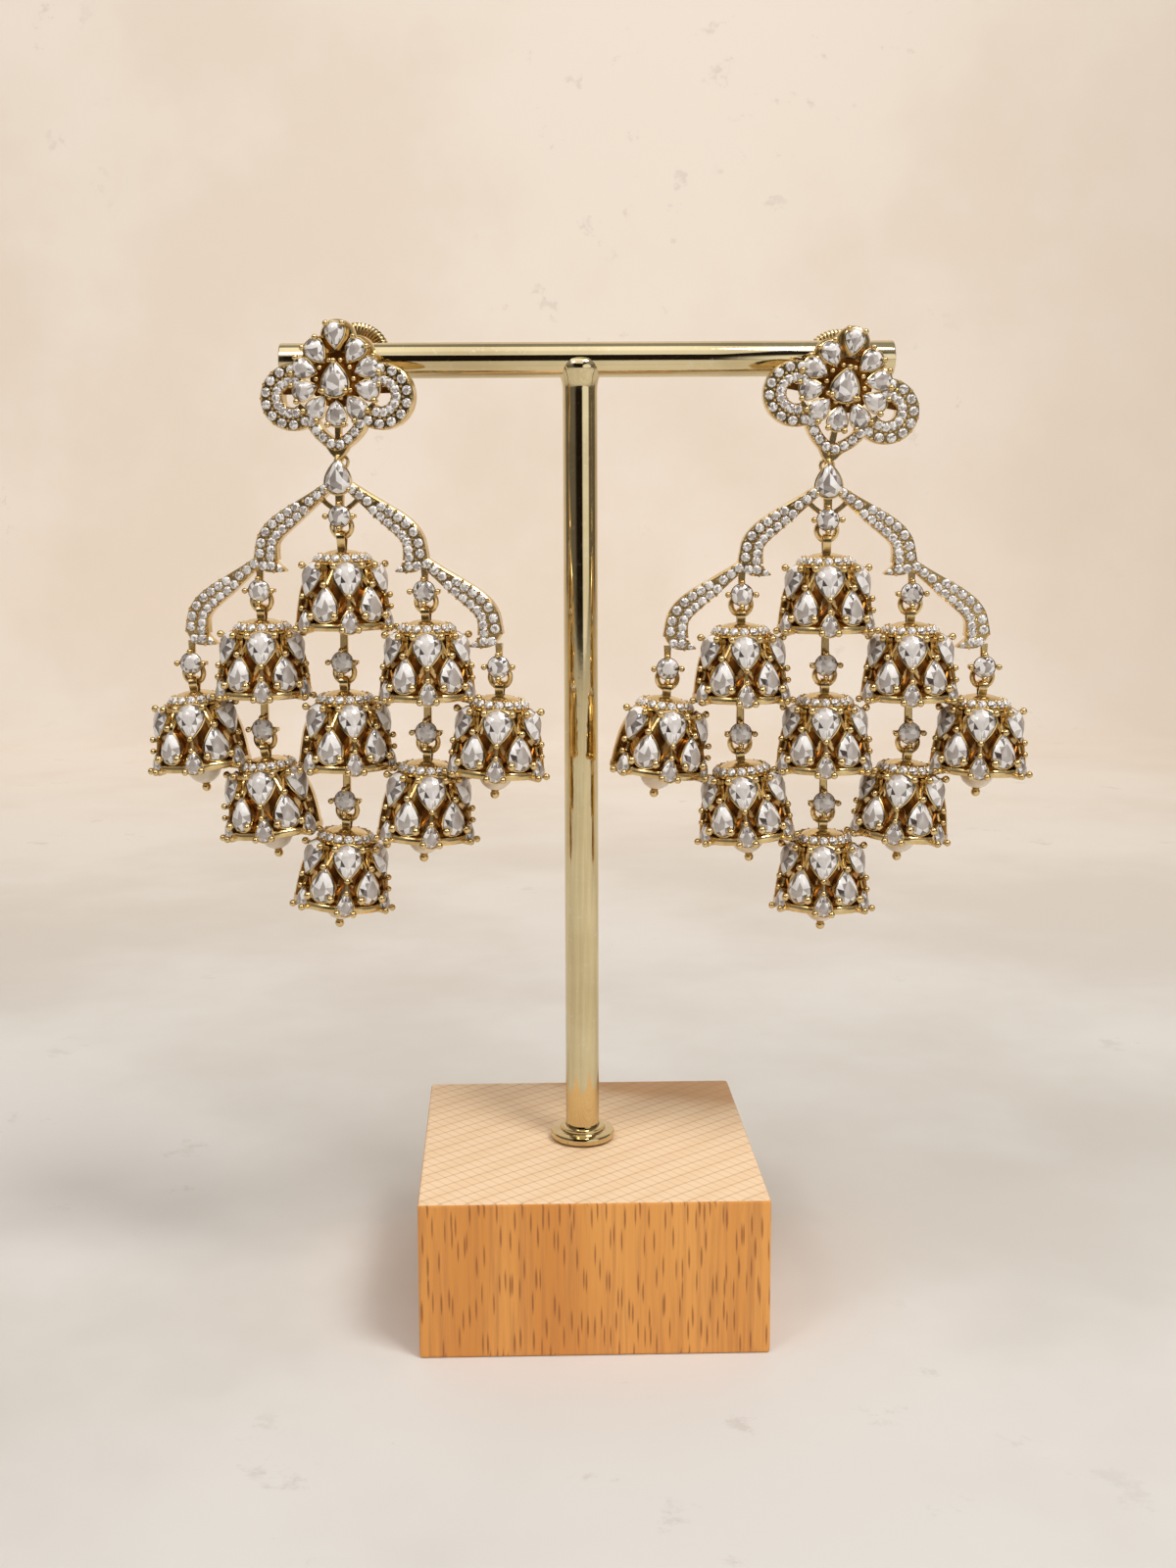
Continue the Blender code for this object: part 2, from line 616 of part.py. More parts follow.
def bell():
    """A hollow bell about its stem hole, with the main stone and two openings in its front."""
    hole = STEM_RADIUS + GAP
    wall = BELL_WALL
    outer = [(hole, 0.0), (CROWN_RADIUS, -CROWN_DOWN), (SHOULDER_BELL_RADIUS, -SHOULDER_BELL_DOWN),
             (BELL_RIM_RADIUS, -BELL_HEIGHT)]
    inner = [(BELL_RIM_RADIUS - wall, -BELL_HEIGHT),
             (SHOULDER_BELL_RADIUS - wall, -SHOULDER_BELL_DOWN - wall / 2), (hole, -wall)]
    shell = turned(outer + inner, BELL_SIDES, start_angle=180.0 / BELL_SIDES)
    point_down = Matrix.Rotation(math.pi, 4, "Y")
    tilt = Matrix.Rotation(math.radians(-BELL_PEAR_TILT), 4, "X")
    out = Matrix.Translation(mm(0, -BELL_PEAR_OUT, -BELL_PEAR_DOWN))
    pear = sunk_pear(BELL_PEAR_WIDTH, BELL_PEAR_LENGTH, BELL_PEAR_SINK, BELL_PEAR_RISE)
    move(pear, out @ tilt @ point_down)
    windows = []
    for side in (-1, 1):
        cut = cylinder(WINDOW_WIDTH / 2, BELL_RIM_RADIUS, 4, axis="Y",
                       centre=(0, -BELL_RIM_RADIUS / 2 - WINDOW_START, 0))
        move(cut, Matrix.Scale(WINDOW_HEIGHT / WINDOW_WIDTH, 4, (0, 0, 1)))
        windows.append(move(cut, Matrix.Rotation(math.radians(side * WINDOW_TURN), 4, "Z")
                            @ Matrix.Translation(mm(0, 0, -WINDOW_DOWN))))
    return joined([shell, pear], windows)


def hanger(hang, below):
    """Strap loop, neck, stem and the shoulder under a bell's dome; the origin is the loop's centre."""
    outside, inside = STRAP_RADIUS + STRAP_HALF_THICKNESS, STRAP_RADIUS - STRAP_HALF_THICKNESS
    band = [(outside, STRAP_HALF_WIDTH), (outside, -STRAP_HALF_WIDTH), (inside, -STRAP_HALF_WIDTH),
            (inside, STRAP_HALF_WIDTH)]
    loop = move(turned(band, LINK_SIDES, 180.0 / LINK_SIDES), Matrix.Rotation(math.pi / 2, 4, "Y"))
    top = -STRAP_RADIUS
    stem = cylinder(STEM_RADIUS, top - below, STEM_SIDES, centre=(0, 0, (top + below) / 2))
    under = -hang - BELL_WALL - GAP
    shoulder = cylinder(SHOULDER_RADIUS, SHOULDER_HEIGHT, STEM_SIDES, turn=180.0 / STEM_SIDES,
                        centre=(0, 0, under - SHOULDER_HEIGHT / 2))
    return [loop, stem, shoulder]


def station_hanger(hang):
    """A hanger that ends in a round-stone station below its bell."""
    stone_z = -hang - BELL_HEIGHT - BELL_TO_STATION
    shapes = hanger(hang, stone_z + STONE_RADIUS / 2)
    parts = station(0, stone_z)
    shift = Matrix.Translation(mm(0, -ring_plane(), 0))
    return joined(shapes + [move(p, shift) for p in parts])


def bead(radius, bands, sides, centre_z, end_radius):
    """A round bead from a turned arc that leaves a small flat at each end of its drilling."""
    start = math.asin(end_radius / radius)
    angles = [start + (math.pi - 2 * start) * i / bands for i in range(bands + 1)]
    arc = [(radius * math.sin(a), centre_z + radius * math.cos(a)) for a in angles]
    return turned([(0.0, arc[0][1])] + arc + [(0.0, arc[-1][1])], sides)


def pearl_hanger(hang):
    """A hanger that ends in a pearl on a ball-ended pin."""
    rim = -hang - BELL_HEIGHT
    pearl_z = rim + PEARL_RISE
    ball_z = pearl_z - PEARL_RADIUS - BALL_RADIUS + SOLDER / 2
    shapes = hanger(hang, ball_z)
    shapes.append(bead(PEARL_RADIUS, PEARL_BANDS, PEARL_SIDES, pearl_z, DRILL_RADIUS))
    shapes.append(bead(BALL_RADIUS, BALL_BANDS, LINK_SIDES, ball_z, BALL_RADIUS / 2))
    return joined(shapes)


def hanging_points():
    """Local x and z of each bell's hanging loop, and its hang, in the order of BELLS."""
    column_x = {0: 0.0, 1: COLUMN_NEAR, 2: COLUMN_FAR}
    top_station = {0: 0.0, 1: -STATION_DROP_NEAR, 2: -STATION_DROP_FAR}
    places = []
    lowest = dict(top_station)
    for entry in BELLS:
        column = abs(entry["column"])
        x = math.copysign(column_x[column], entry["column"]) if column else 0.0
        key = entry["column"]
        station_z = lowest.get(key, top_station[column])
        hang = HANG_TOP if entry["row"] == 0 else HANG
        loop_z = station_z - RING_DROP - RING_RADIUS
        places.append((x, loop_z, hang))
        lowest[key] = loop_z - hang - BELL_HEIGHT - BELL_TO_STATION
    return places


def last_in_column(index):
    """Whether no bell hangs below this one."""
    column = BELLS[index]["column"]
    return all(entry["column"] != column for entry in BELLS[index + 1:])


def put(source, name, material, collection, matrix):
    """Makes a node from a shape's mesh, placed by its matrix."""
    obj = bpy.data.objects.new(name, source.data)
    collection.objects.link(obj)
    obj.matrix_world = matrix
    if not obj.data.materials:
        obj.data.materials.append(material)
    return obj


def main():
    """Builds every piece and places it."""
    clear_scene()
    finishes = make_materials()
    gold = finishes["antique_gold"]
    parts = bpy.data.collections.new("chandelier_earrings_on_stand")
    bpy.context.scene.collection.children.link(parts)
    here = Matrix()
    masters = []

    def keep(shape):
        masters.append(tidy(shape))
        return shape

    put(keep(stand_base()), "stand_base", finishes["beech"], parts, here)
    put(keep(stand_foot()), "stand_foot", finishes["stand_brass"], parts, here)
    put(keep(stand_rod()), "stand_rod", finishes["stand_brass"], parts, here)
    stud_shape, back_shape = keep(stud()), keep(stud_back())
    frame_shape, bell_shape = keep(frame()), keep(bell())
    hanging = hanging_points()
    lower = {}
    for index, (_, _, hang) in enumerate(hanging):
        kind = "pearl" if last_in_column(index) else "station"
        if (kind, hang) not in lower:
            lower[(kind, hang)] = keep(pearl_hanger(hang) if kind == "pearl" else station_hanger(hang))
    for side, place in EARRINGS.items():
        yaw = Matrix.Rotation(math.radians(place["yaw"]), 4, "Z")
        roll = Matrix.Rotation(math.radians(place["stud_roll"]), 4, "Y")
        post_height = BAR_HEIGHT + place["post_lift"]
        rise = (STUD_RADIUS + EAR_POST_RISE) * math.cos(math.radians(place["stud_roll"]))
        hinge_z = post_height - rise
        origin = Matrix.Translation(mm(place["x"], -HANG_FORWARD, hinge_z)) @ yaw
        stud_place = origin @ roll @ Matrix.Translation(mm(0, 0, STUD_RADIUS))
        put(stud_shape, side + "_stud", gold, parts, stud_place)
        put(back_shape, side + "_stud_back", gold, parts, stud_place)
        drop = origin @ Matrix.Translation(mm(0, 0, -HINGE_RISE))
        put(frame_shape, side + "_frame", gold, parts, drop)
        counts = {"pearl": 0, "station": 0}
        for index, (x, z, hang) in enumerate(hanging):
            turn, lean = BELLS[index][side]
            swing = Matrix.Rotation(math.radians(-lean), 4, "Y")
            loop = drop @ Matrix.Translation(mm(x, ring_plane(), z)) @ swing
            kind = "pearl" if last_in_column(index) else "station"
            counts[kind] += 1
            finish = finishes[LOWER_FINISH[kind]]
            put(lower[(kind, hang)], f"{side}_{kind}_{counts[kind]}", finish, parts, loop)
            facing = Matrix.Rotation(math.radians(turn - place["yaw"]), 4, "Z")
            dome = loop @ Matrix.Translation(mm(0, 0, -hang)) @ facing
            put(bell_shape, f"{side}_bell_{index + 1}", gold, parts, dome)
    for shape in masters:
        bpy.data.objects.remove(shape, do_unlink=True)


main()
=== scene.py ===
"""A pair of chandelier earrings on a T-bar stand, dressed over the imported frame.

Sizes are in millimetres and become metres through MM. The fronts face -Y and the origin is the centre of
the wooden block's underside.
"""

import json
import logging
import math
from collections.abc import Sequence
from dataclasses import dataclass, field
from enum import Enum
from functools import lru_cache

import bmesh
import bpy
import numpy as np
from mathutils import Matrix, Vector


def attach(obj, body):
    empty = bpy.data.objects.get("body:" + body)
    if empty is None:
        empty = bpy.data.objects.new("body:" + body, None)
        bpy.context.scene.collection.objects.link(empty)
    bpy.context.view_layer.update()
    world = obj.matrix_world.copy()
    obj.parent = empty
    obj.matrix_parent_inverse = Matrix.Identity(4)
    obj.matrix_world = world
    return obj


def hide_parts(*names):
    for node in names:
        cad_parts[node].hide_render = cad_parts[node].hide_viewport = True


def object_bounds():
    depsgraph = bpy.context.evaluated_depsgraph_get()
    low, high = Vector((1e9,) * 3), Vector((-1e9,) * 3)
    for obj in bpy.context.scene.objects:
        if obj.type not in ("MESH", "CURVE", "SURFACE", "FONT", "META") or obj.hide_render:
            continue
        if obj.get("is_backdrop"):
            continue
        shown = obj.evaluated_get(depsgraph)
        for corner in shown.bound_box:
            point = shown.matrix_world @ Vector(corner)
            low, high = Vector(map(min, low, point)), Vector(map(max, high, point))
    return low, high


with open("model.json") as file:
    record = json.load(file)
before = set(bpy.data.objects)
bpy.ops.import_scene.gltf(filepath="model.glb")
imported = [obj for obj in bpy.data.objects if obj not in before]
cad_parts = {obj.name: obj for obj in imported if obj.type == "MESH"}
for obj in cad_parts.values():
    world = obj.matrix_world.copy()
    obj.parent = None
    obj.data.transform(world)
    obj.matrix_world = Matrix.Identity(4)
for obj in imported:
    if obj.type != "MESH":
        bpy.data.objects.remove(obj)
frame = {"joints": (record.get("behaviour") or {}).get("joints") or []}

MM = 0.001
LOG = logging.getLogger("chandelier_earrings")

Colour = tuple[float, float, float, float]


class Finish(Enum):
    """The finishes of the pieces; each value is a material's name."""

    GOLD = "gilt_metal"
    # Painted shade: a dark brown and amber gilt for sunk and backing parts, in place of the shade in
    # recesses.
    PAINTED_SHADE = "gilt_painted_shade"
    STONE = "clear_stone"
    PEARL = "pearl_lustre"
    BRASS = "polished_brass"
    SIDE_GRAIN = "beech_side_grain"
    END_GRAIN = "beech_end_grain"
    PLASTER = "pale_plaster"


# Shader recipes


class Wire:
    """A shader socket that takes part in Python expressions."""

    def __init__(self, recipe: "Recipe", socket: bpy.types.NodeSocket) -> None:
        """Keeps the socket and the recipe that it belongs to."""
        self.recipe = recipe
        self.socket = socket

    def _math(self, operation: str, first: "Wire | float", second: "Wire | float") -> "Wire":
        """Adds one Math node."""
        return self.recipe.add("ShaderNodeMath", {"operation": operation}, {0: first, 1: second})

    def __add__(self, other: "Wire | float") -> "Wire":
        """self + other."""
        return self._math("ADD", self, other)

    def __radd__(self, other: float) -> "Wire":
        """other + self."""
        return self._math("ADD", other, self)

    def __sub__(self, other: "Wire | float") -> "Wire":
        """self - other."""
        return self._math("SUBTRACT", self, other)

    def __rsub__(self, other: float) -> "Wire":
        """other - self."""
        return self._math("SUBTRACT", other, self)

    def __mul__(self, other: "Wire | float") -> "Wire":
        """self * other."""
        return self._math("MULTIPLY", self, other)

    def step(self, low: float, high: float) -> "Wire":
        """A smooth mask that runs from 0 at low to 1 at high."""
        return self.recipe.add("ShaderNodeMapRange", {"interpolation_type": "SMOOTHSTEP"},
                               {"Value": self, "From Min": low, "From Max": high})


class Recipe:
    """The node tree of one material or of the room's light."""

    def __init__(self, owner: bpy.types.Material | bpy.types.World) -> None:
        """Turns on the nodes of what it is for.

        Args:
            owner: The material or world.
        """
        self.owner = owner
        owner.use_nodes = True
        self.tree = owner.node_tree

    @classmethod
    def of(cls, name: Finish) -> "Recipe":
        """A recipe for a new material of that name."""
        return cls(bpy.data.materials.new(name.value))

    def add(self, kind: str, settings: dict | None = None, inputs: dict | None = None,
            output: str | int = 0) -> Wire:
        """Adds a node.

        Args:
            kind: The node's type.
            settings: Values of its own properties, set first; stops holds a ramp's places and colours.
            inputs: Values or wires for its sockets, by name or number.
            output: Which output to return.

        Returns:
            The wire of that output.
        """
        node = self.tree.nodes.new(kind)
        for name, value in (settings or {}).items():
            if name == "stops":
                elements = node.color_ramp.elements
                while len(elements) < len(value):
                    elements.new(1.0)
                for element, (place, colour) in zip(elements, value):
                    element.position = place
                    element.color = colour
            else:
                setattr(node, name, value)
        for name, value in (inputs or {}).items():
            self.feed(node.inputs[name], value)
        return Wire(self, node.outputs[output])

    def feed(self, socket: bpy.types.NodeSocket, value: object) -> None:
        """Links a wire to a socket, or sets its value.

        Args:
            socket: The socket to feed.
            value: A wire, or a plain value.
        """
        if isinstance(value, Wire):
            self.tree.links.new(value.socket, socket)
        else:
            socket.default_value = value

    def place(self, scale: Sequence[float] = (1.0, 1.0, 1.0), turn: float = 0.0) -> Wire:
        """Object coordinates, scaled, after a turn about Z in degrees."""
        here = self.add("ShaderNodeTexCoord", output="Object")
        return self.add("ShaderNodeMapping", {"vector_type": "POINT"},
                        {"Vector": here, "Rotation": (0, 0, math.radians(turn)), "Scale": tuple(scale)})

    def axis(self, here: Wire, number: int) -> Wire:
        """One coordinate of a place: 0 for X, 1 for Y and 2 for Z."""
        return self.add("ShaderNodeSeparateXYZ", inputs={0: here}, output=number)

    def noise(self, vector: Wire, scale: float, detail: float = 2.0, roughness: float = 0.5) -> Wire:
        """A noise value about 0.5."""
        return self.add("ShaderNodeTexNoise", inputs={"Vector": vector, "Scale": scale, "Detail": detail,
                                                      "Roughness": roughness})

    def blend(self, factor: Wire | float, first: "Wire | Colour", second: "Wire | Colour") -> Wire:
        """Mixes two colours."""
        return self.add("ShaderNodeMix", {"data_type": "RGBA"}, {0: factor, 6: first, 7: second}, output=2)

    def bump(self, height: Wire, strength: float, distance: float) -> Wire:
        """A bump normal from a height, with its distance in millimetres."""
        return self.add("ShaderNodeBump", inputs={"Height": height, "Strength": strength,
                                                  "Distance": distance * MM})

    def finish(self, **sockets: object) -> bpy.types.Material:
        """Feeds the Principled shader.

        Args:
            **sockets: Values or wires by socket name, with _ for a space.

        Returns:
            The finished material.
        """
        shader = self.tree.nodes["Principled BSDF"]
        for name, value in sockets.items():
            self.feed(shader.inputs[name.replace("_", " ")], value)
        return self.owner


@dataclass(frozen=True)
class GiltMetal:
    """Cast and gilded metal, brighter and browner in soft random patches."""

    name: Finish
    bright: Colour
    deep: Colour
    roughness: float

    def material(self) -> bpy.types.Material:
        """Builds the material.

        Returns:
            The material.
        """
        recipe = Recipe.of(self.name)
        place = recipe.place()
        cloud = recipe.noise(place, 420.0, 4.0).step(0.35, 0.65)
        fine = recipe.noise(place, 3000.0, 2.0)
        return recipe.finish(Base_Color=recipe.blend(cloud, self.deep, self.bright), Metallic=1.0,
                             Roughness=cloud * -0.06 + (self.roughness + 0.05) + fine * 0.05,
                             Normal=recipe.bump(fine, 0.25, 0.02))


@dataclass(frozen=True)
class CutStone:
    """A clear stone drawn opaque, whose facets carry painted reflections: each is near black, grey, champagne
    or white by a drawn lightness.
    """

    name: Finish = Finish.STONE
    index: float = 2.1

    def material(self) -> bpy.types.Material:
        """Builds the material.

        Returns:
            The material.
        """
        recipe = Recipe.of(self.name)
        # Painted reflections: the per-facet lightness in "facet" picks each facet's colour.
        facet = recipe.add("ShaderNodeAttribute", {"attribute_name": "facet"}, output="Fac")
        painted_reflection_tones = recipe.add("ShaderNodeValToRGB", {"stops": [(0.0, (0.07, 0.05, 0.04, 1.0)),
                                                            (0.25, (0.24, 0.20, 0.18, 1.0)),
                                                            (0.6, (0.55, 0.49, 0.45, 1.0)),
                                                            (0.85, (0.98, 0.95, 0.93, 1.0))]}, {"Fac": facet})
        return recipe.finish(Base_Color=painted_reflection_tones, Roughness=0.05, IOR=self.index, Coat_Weight=0.4,
                             Coat_Roughness=0.02)


@dataclass(frozen=True)
class PearlLustre:
    """A cream pearl with a soft, slightly uneven lustre and a faint painted glow."""

    name: Finish = Finish.PEARL

    def material(self) -> bpy.types.Material:
        """Builds the material.

        Returns:
            The material.
        """
        recipe = Recipe.of(self.name)
        cloud = recipe.noise(recipe.place(), 350.0, 3.0).step(0.3, 0.7)
        tone = recipe.blend(cloud, (0.76, 0.61, 0.43, 1.0), (0.93, 0.84, 0.70, 1.0))
        # The weak emission is a painted glow: the pearl gives off a little light of its own.
        return recipe.finish(Base_Color=tone, Roughness=0.24 - cloud * 0.06, Coat_Weight=0.6, IOR=1.6,
                             Coat_Roughness=0.08, Emission_Color=tone, Emission_Strength=0.03)


@dataclass(frozen=True)
class PolishedBrass:
    """A drawn and polished pale rod with faint rubbed marks."""

    name: Finish = Finish.BRASS

    def material(self) -> bpy.types.Material:
        """Builds the material.

        Returns:
            The material.
        """
        recipe = Recipe.of(self.name)
        place = recipe.place()
        cloud = recipe.noise(place, 60.0, 4.0)
        rub = recipe.noise(place, 900.0, 6.0, 0.7).step(0.55, 0.72)
        tone = recipe.blend(cloud.step(0.3, 0.7), (0.62, 0.50, 0.28, 1.0), (0.78, 0.66, 0.40, 1.0))
        worn = recipe.blend(rub * 0.35, tone, (0.88, 0.84, 0.74, 1.0))
        return recipe.finish(Base_Color=worn, Metallic=1.0, Roughness=cloud * 0.04 + rub * 0.10 + 0.05,
                             Normal=recipe.bump(rub, 0.12, 0.01))


@dataclass(frozen=True)
class BeechSide:
    """The long grain of beech: upright streaks with short dark flecks."""

    name: Finish = Finish.SIDE_GRAIN
    flecks_across: float = 1250.0
    flecks_up: float = 112.0
    fleck_slant: float = 60.0

    def material(self) -> bpy.types.Material:
        """Builds the material.

        Returns:
            The material.
        """
        recipe = Recipe.of(self.name)
        broad = recipe.noise(recipe.place((90.0, 90.0, 9.0)), 1.0, 3.0).step(0.3, 0.7)
        streak = recipe.noise(recipe.place((1500.0, 1500.0, 60.0)), 1.0, 3.0, 0.6)
        here = recipe.place()
        across, away, up = (recipe.axis(here, number) for number in range(3))
        round_block = across + away + (streak - 0.5) * 0.0004
        along = up * self.flecks_up + across * self.fleck_slant
        spread = recipe.add("ShaderNodeCombineXYZ", inputs={0: round_block * self.flecks_across, 1: along})
        flecks = recipe.add("ShaderNodeTexVoronoi", {"feature": "F1", "voronoi_dimensions": "2D"},
                            {"Vector": spread, "Scale": 1.0, "Randomness": 0.9})
        fleck = 1.0 - flecks.step(0.08, 0.25)
        tone = recipe.blend(broad, (0.78, 0.31, 0.06, 1.0), (0.96, 0.45, 0.11, 1.0))
        lined = recipe.blend(streak.step(0.40, 0.70) * 0.55, tone, (0.58, 0.23, 0.065, 1.0))
        marked = recipe.blend(fleck * 0.75, lined, (0.33, 0.10, 0.025, 1.0))
        return recipe.finish(Base_Color=marked, Roughness=0.52 + streak * 0.12,
                             Normal=recipe.bump(streak - fleck * 0.6, 0.2, 0.06))


@dataclass(frozen=True)
class BeechEnd:
    """Sawn end grain: growth arcs, crossed by fine ray and saw lines, with a darker stain at the back."""

    name: Finish = Finish.END_GRAIN

    def lines(self, recipe: Recipe, turn: float, spacing: float, thin: float, bend: float) -> Wire:
        """A mask of thin parallel lines.

        Args:
            recipe: The recipe to draw in.
            turn: Their turn about Z in degrees.
            spacing: Millimetres from line to line.
            thin: How little of a spacing a line covers, from 0 to 1.
            bend: How far they wander.

        Returns:
            The mask, 1 on a line.
        """
        waves = recipe.add("ShaderNodeTexWave", {"wave_type": "BANDS", "bands_direction": "X"},
                           {"Vector": recipe.place(turn=turn), "Scale": math.pi / (10.0 * spacing * MM),
                            "Distortion": bend, "Detail": 2.0, "Detail Scale": 0.4})
        return waves.step(thin, 1.0)

    def material(self) -> bpy.types.Material:
        """Builds the material.

        Returns:
            The material.
        """
        recipe = Recipe.of(self.name)
        rays = self.lines(recipe, 52.0, 2.4, 0.90, 0.6)
        saw = self.lines(recipe, -38.0, 1.5, 0.88, 0.5)
        growth = self.lines(recipe, 40.0, 6.0, 0.3, 3.0)
        cloud = recipe.noise(recipe.place(), 45.0, 4.0)
        tone = recipe.blend(growth * 0.5, (0.95, 0.71, 0.47, 1.0), (0.89, 0.63, 0.39, 1.0))
        lined = recipe.blend(rays * 0.5 + saw * 0.35, tone, (0.62, 0.36, 0.17, 1.0))
        millimetres = recipe.place((1000.0, 1000.0, 1000.0))
        across, away = (recipe.axis(millimetres, number) for number in range(2))
        stain = (across * 0.5 + away + cloud * 16.0).step(26.0, 34.0)
        stained = recipe.blend(stain * 0.7, lined, (0.62, 0.30, 0.10, 1.0))
        return recipe.finish(Base_Color=stained, Roughness=0.55 + cloud * 0.1,
                             Normal=recipe.bump(1.0 - rays * 0.5 - saw * 0.5, 0.12, 0.04))


@dataclass(frozen=True)
class PalePlaster:
    """A pale floor and wall with a faint unevenness and pits; the far part turns darker towards +X and glows
    with painted light.
    """

    name: Finish = Finish.PLASTER

    def material(self) -> bpy.types.Material:
        """Builds the material.

        Returns:
            The material.
        """
        recipe = Recipe.of(self.name)
        cloud = recipe.noise(recipe.place(), 7.0, 5.0, 0.55)
        fine = recipe.noise(recipe.place(), 220.0, 4.0)
        away = recipe.axis(recipe.place(), 1).step(0.0, 0.62)
        drift = cloud.step(0.38, 0.62)
        near = recipe.blend(drift, (0.66, 0.63, 0.59, 1.0), (0.77, 0.755, 0.73, 1.0))
        lit = recipe.blend(drift, (0.80, 0.70, 0.59, 1.0), (0.86, 0.78, 0.69, 1.0))
        aside = recipe.axis(recipe.place(), 0).step(0.08, 0.45)
        far = recipe.blend(aside * 0.6, lit, (0.60, 0.51, 0.42, 1.0))
        pits = recipe.noise(recipe.place(), 60.0, 6.0, 0.7).step(0.60, 0.68) * cloud.step(0.5, 0.6)
        worn = recipe.blend(pits * 0.35, recipe.blend(away, near, far), (0.50, 0.45, 0.40, 1.0))
        # Painted light: the sheet behind the stand, rising to full at the wall, gives off its own pale colour
        # so that it looks brightly lit.
        painted_wall_glow = recipe.blend(away, (0.0, 0.0, 0.0, 1.0), (0.95, 0.83, 0.71, 1.0))
        return recipe.finish(Base_Color=worn, Roughness=0.75, Emission_Color=painted_wall_glow, Emission_Strength=0.17,
                             Normal=recipe.bump(fine - pits, 0.15, 0.3))


FINISHES = (
    GiltMetal(Finish.GOLD, (0.82, 0.62, 0.31, 1.0), (0.64, 0.45, 0.19, 1.0), 0.17),
    # Painted shade: the same gilt made dark brown and amber, a shaded copy of the gold for the web, cups,
    # plates, bars and side arms.
    GiltMetal(Finish.PAINTED_SHADE, (0.46, 0.19, 0.03, 1.0), (0.17, 0.06, 0.012, 1.0), 0.26),
    CutStone(),
    PearlLustre(),
    PolishedBrass(),
    BeechSide(),
    BeechEnd(),
    PalePlaster(),
)


# Forms


def shift(x: float = 0.0, y: float = 0.0, z: float = 0.0) -> Matrix:
    """A move in millimetres."""
    return Matrix.Translation((x, y, z))


def spin(degrees: float, axis: str) -> Matrix:
    """A turn about X, Y or Z."""
    return Matrix.Rotation(math.radians(degrees), 4, axis)


@dataclass
class Form:
    """Points in millimetres, the faces on them, and whether they are shaded smooth."""

    points: np.ndarray
    faces: list[tuple[int, ...]]
    smooth: bool = True

    def outward(self) -> "Form":
        """Turns the faces of a closed skin outwards.

        Returns:
            The same form.
        """
        bm = bmesh.new()
        verts = [bm.verts.new(p) for p in self.points]
        for face in self.faces:
            bm.faces.new([verts[i] for i in face])
        bmesh.ops.recalc_face_normals(bm, faces=bm.faces)
        bm.verts.index_update()
        self.faces = [tuple(v.index for v in f.verts) for f in bm.faces]
        bm.free()
        return self


@lru_cache(maxsize=None)
def ball(radius: float, rounds: int = 2) -> Form:
    """A round bead.

    Args:
        radius: Its radius.
        rounds: How often its faces are divided.

    Returns:
        The bead about its centre.
    """
    bm = bmesh.new()
    bmesh.ops.create_icosphere(bm, subdivisions=rounds, radius=radius)
    form = Form(np.array([v.co for v in bm.verts]), [tuple(v.index for v in f.verts) for f in bm.faces])
    bm.free()
    return form


def lathe(profile: Sequence[tuple[float, float]], steps: int, closed: bool = False,
          start: float = 0.0, sweep: float = 360.0) -> Form:
    """A turned form about Z; angle 0 faces the front.

    Args:
        profile: Radius and height of each point, down the outer side.
        steps: Segments round the turn.
        closed: Whether the profile's last point joins its first.
        start: The angle that the turn starts at.
        sweep: How many degrees it goes round.

    Returns:
        The form, open at its ends unless it goes all the way round.
    """
    whole = sweep >= 360.0
    columns = steps if whole else steps + 1
    points, index = [], {}
    for j, (radius, height) in enumerate(profile):
        for i in range(columns):
            if radius == 0.0 and i:
                index[i, j] = index[0, j]
                continue
            angle = math.radians(start + sweep * i / steps)
            index[i, j] = len(points)
            points.append((radius * math.sin(angle), -radius * math.cos(angle), height))
    faces = []
    last = len(profile) - 1
    rows = [(j, j + 1) for j in range(last)] + ([(last, 0)] if closed else [])
    for i in range(steps):
        k = (i + 1) % columns
        for j, m in rows:
            face = list(dict.fromkeys((index[i, j], index[i, m], index[k, m], index[k, j])))
            if len(face) > 2:
                faces.append(tuple(face))
    return Form(np.array(points), faces)


@lru_cache(maxsize=None)
def link(radius: float, wire: float, steps: int = 24, sides: int = 8) -> Form:
    """A closed round wire ring whose hole runs along Z."""
    turns = [math.pi / 2 - 2 * math.pi * k / sides for k in range(sides)]
    return lathe([(radius + wire * math.cos(t), wire * math.sin(t)) for t in turns], steps, closed=True)


@lru_cache(maxsize=None)
def pin(radius: float, front: float, back: float, sides: int = 8) -> Form:
    """A short round pin along Y.

    Args:
        radius: Its radius.
        front: The depth of its front end.
        back: The depth of its back end.
        sides: Its number of sides.

    Returns:
        The closed pin.
    """
    form = lathe([(0.0, -front), (radius, -front), (radius, -back), (0.0, -back)], sides)
    points = form.points[:, [0, 2, 1]] * np.array((1.0, -1.0, 1.0))
    return Form(points, form.faces).outward()


def rod_between(start: Vector, end: Vector, radius: float) -> Form:
    """A thin six-sided rod.

    Args:
        start: The middle of one end.
        end: The middle of the other.
        radius: Its radius.

    Returns:
        The closed rod.
    """
    along = end - start
    turn = np.array(along.to_track_quat("Z", "Y").to_matrix())
    form = lathe([(0.0, along.length), (radius, along.length), (radius, 0.0), (0.0, 0.0)], 6)
    return Form(form.points @ turn.T + np.array(start), form.faces)


def lengths(path: np.ndarray) -> np.ndarray:
    """How far along a path in the XZ plane each of its points lies."""
    steps = np.linalg.norm(np.diff(path[:, :2], axis=0), axis=1)
    return np.concatenate([[0], np.cumsum(steps)])


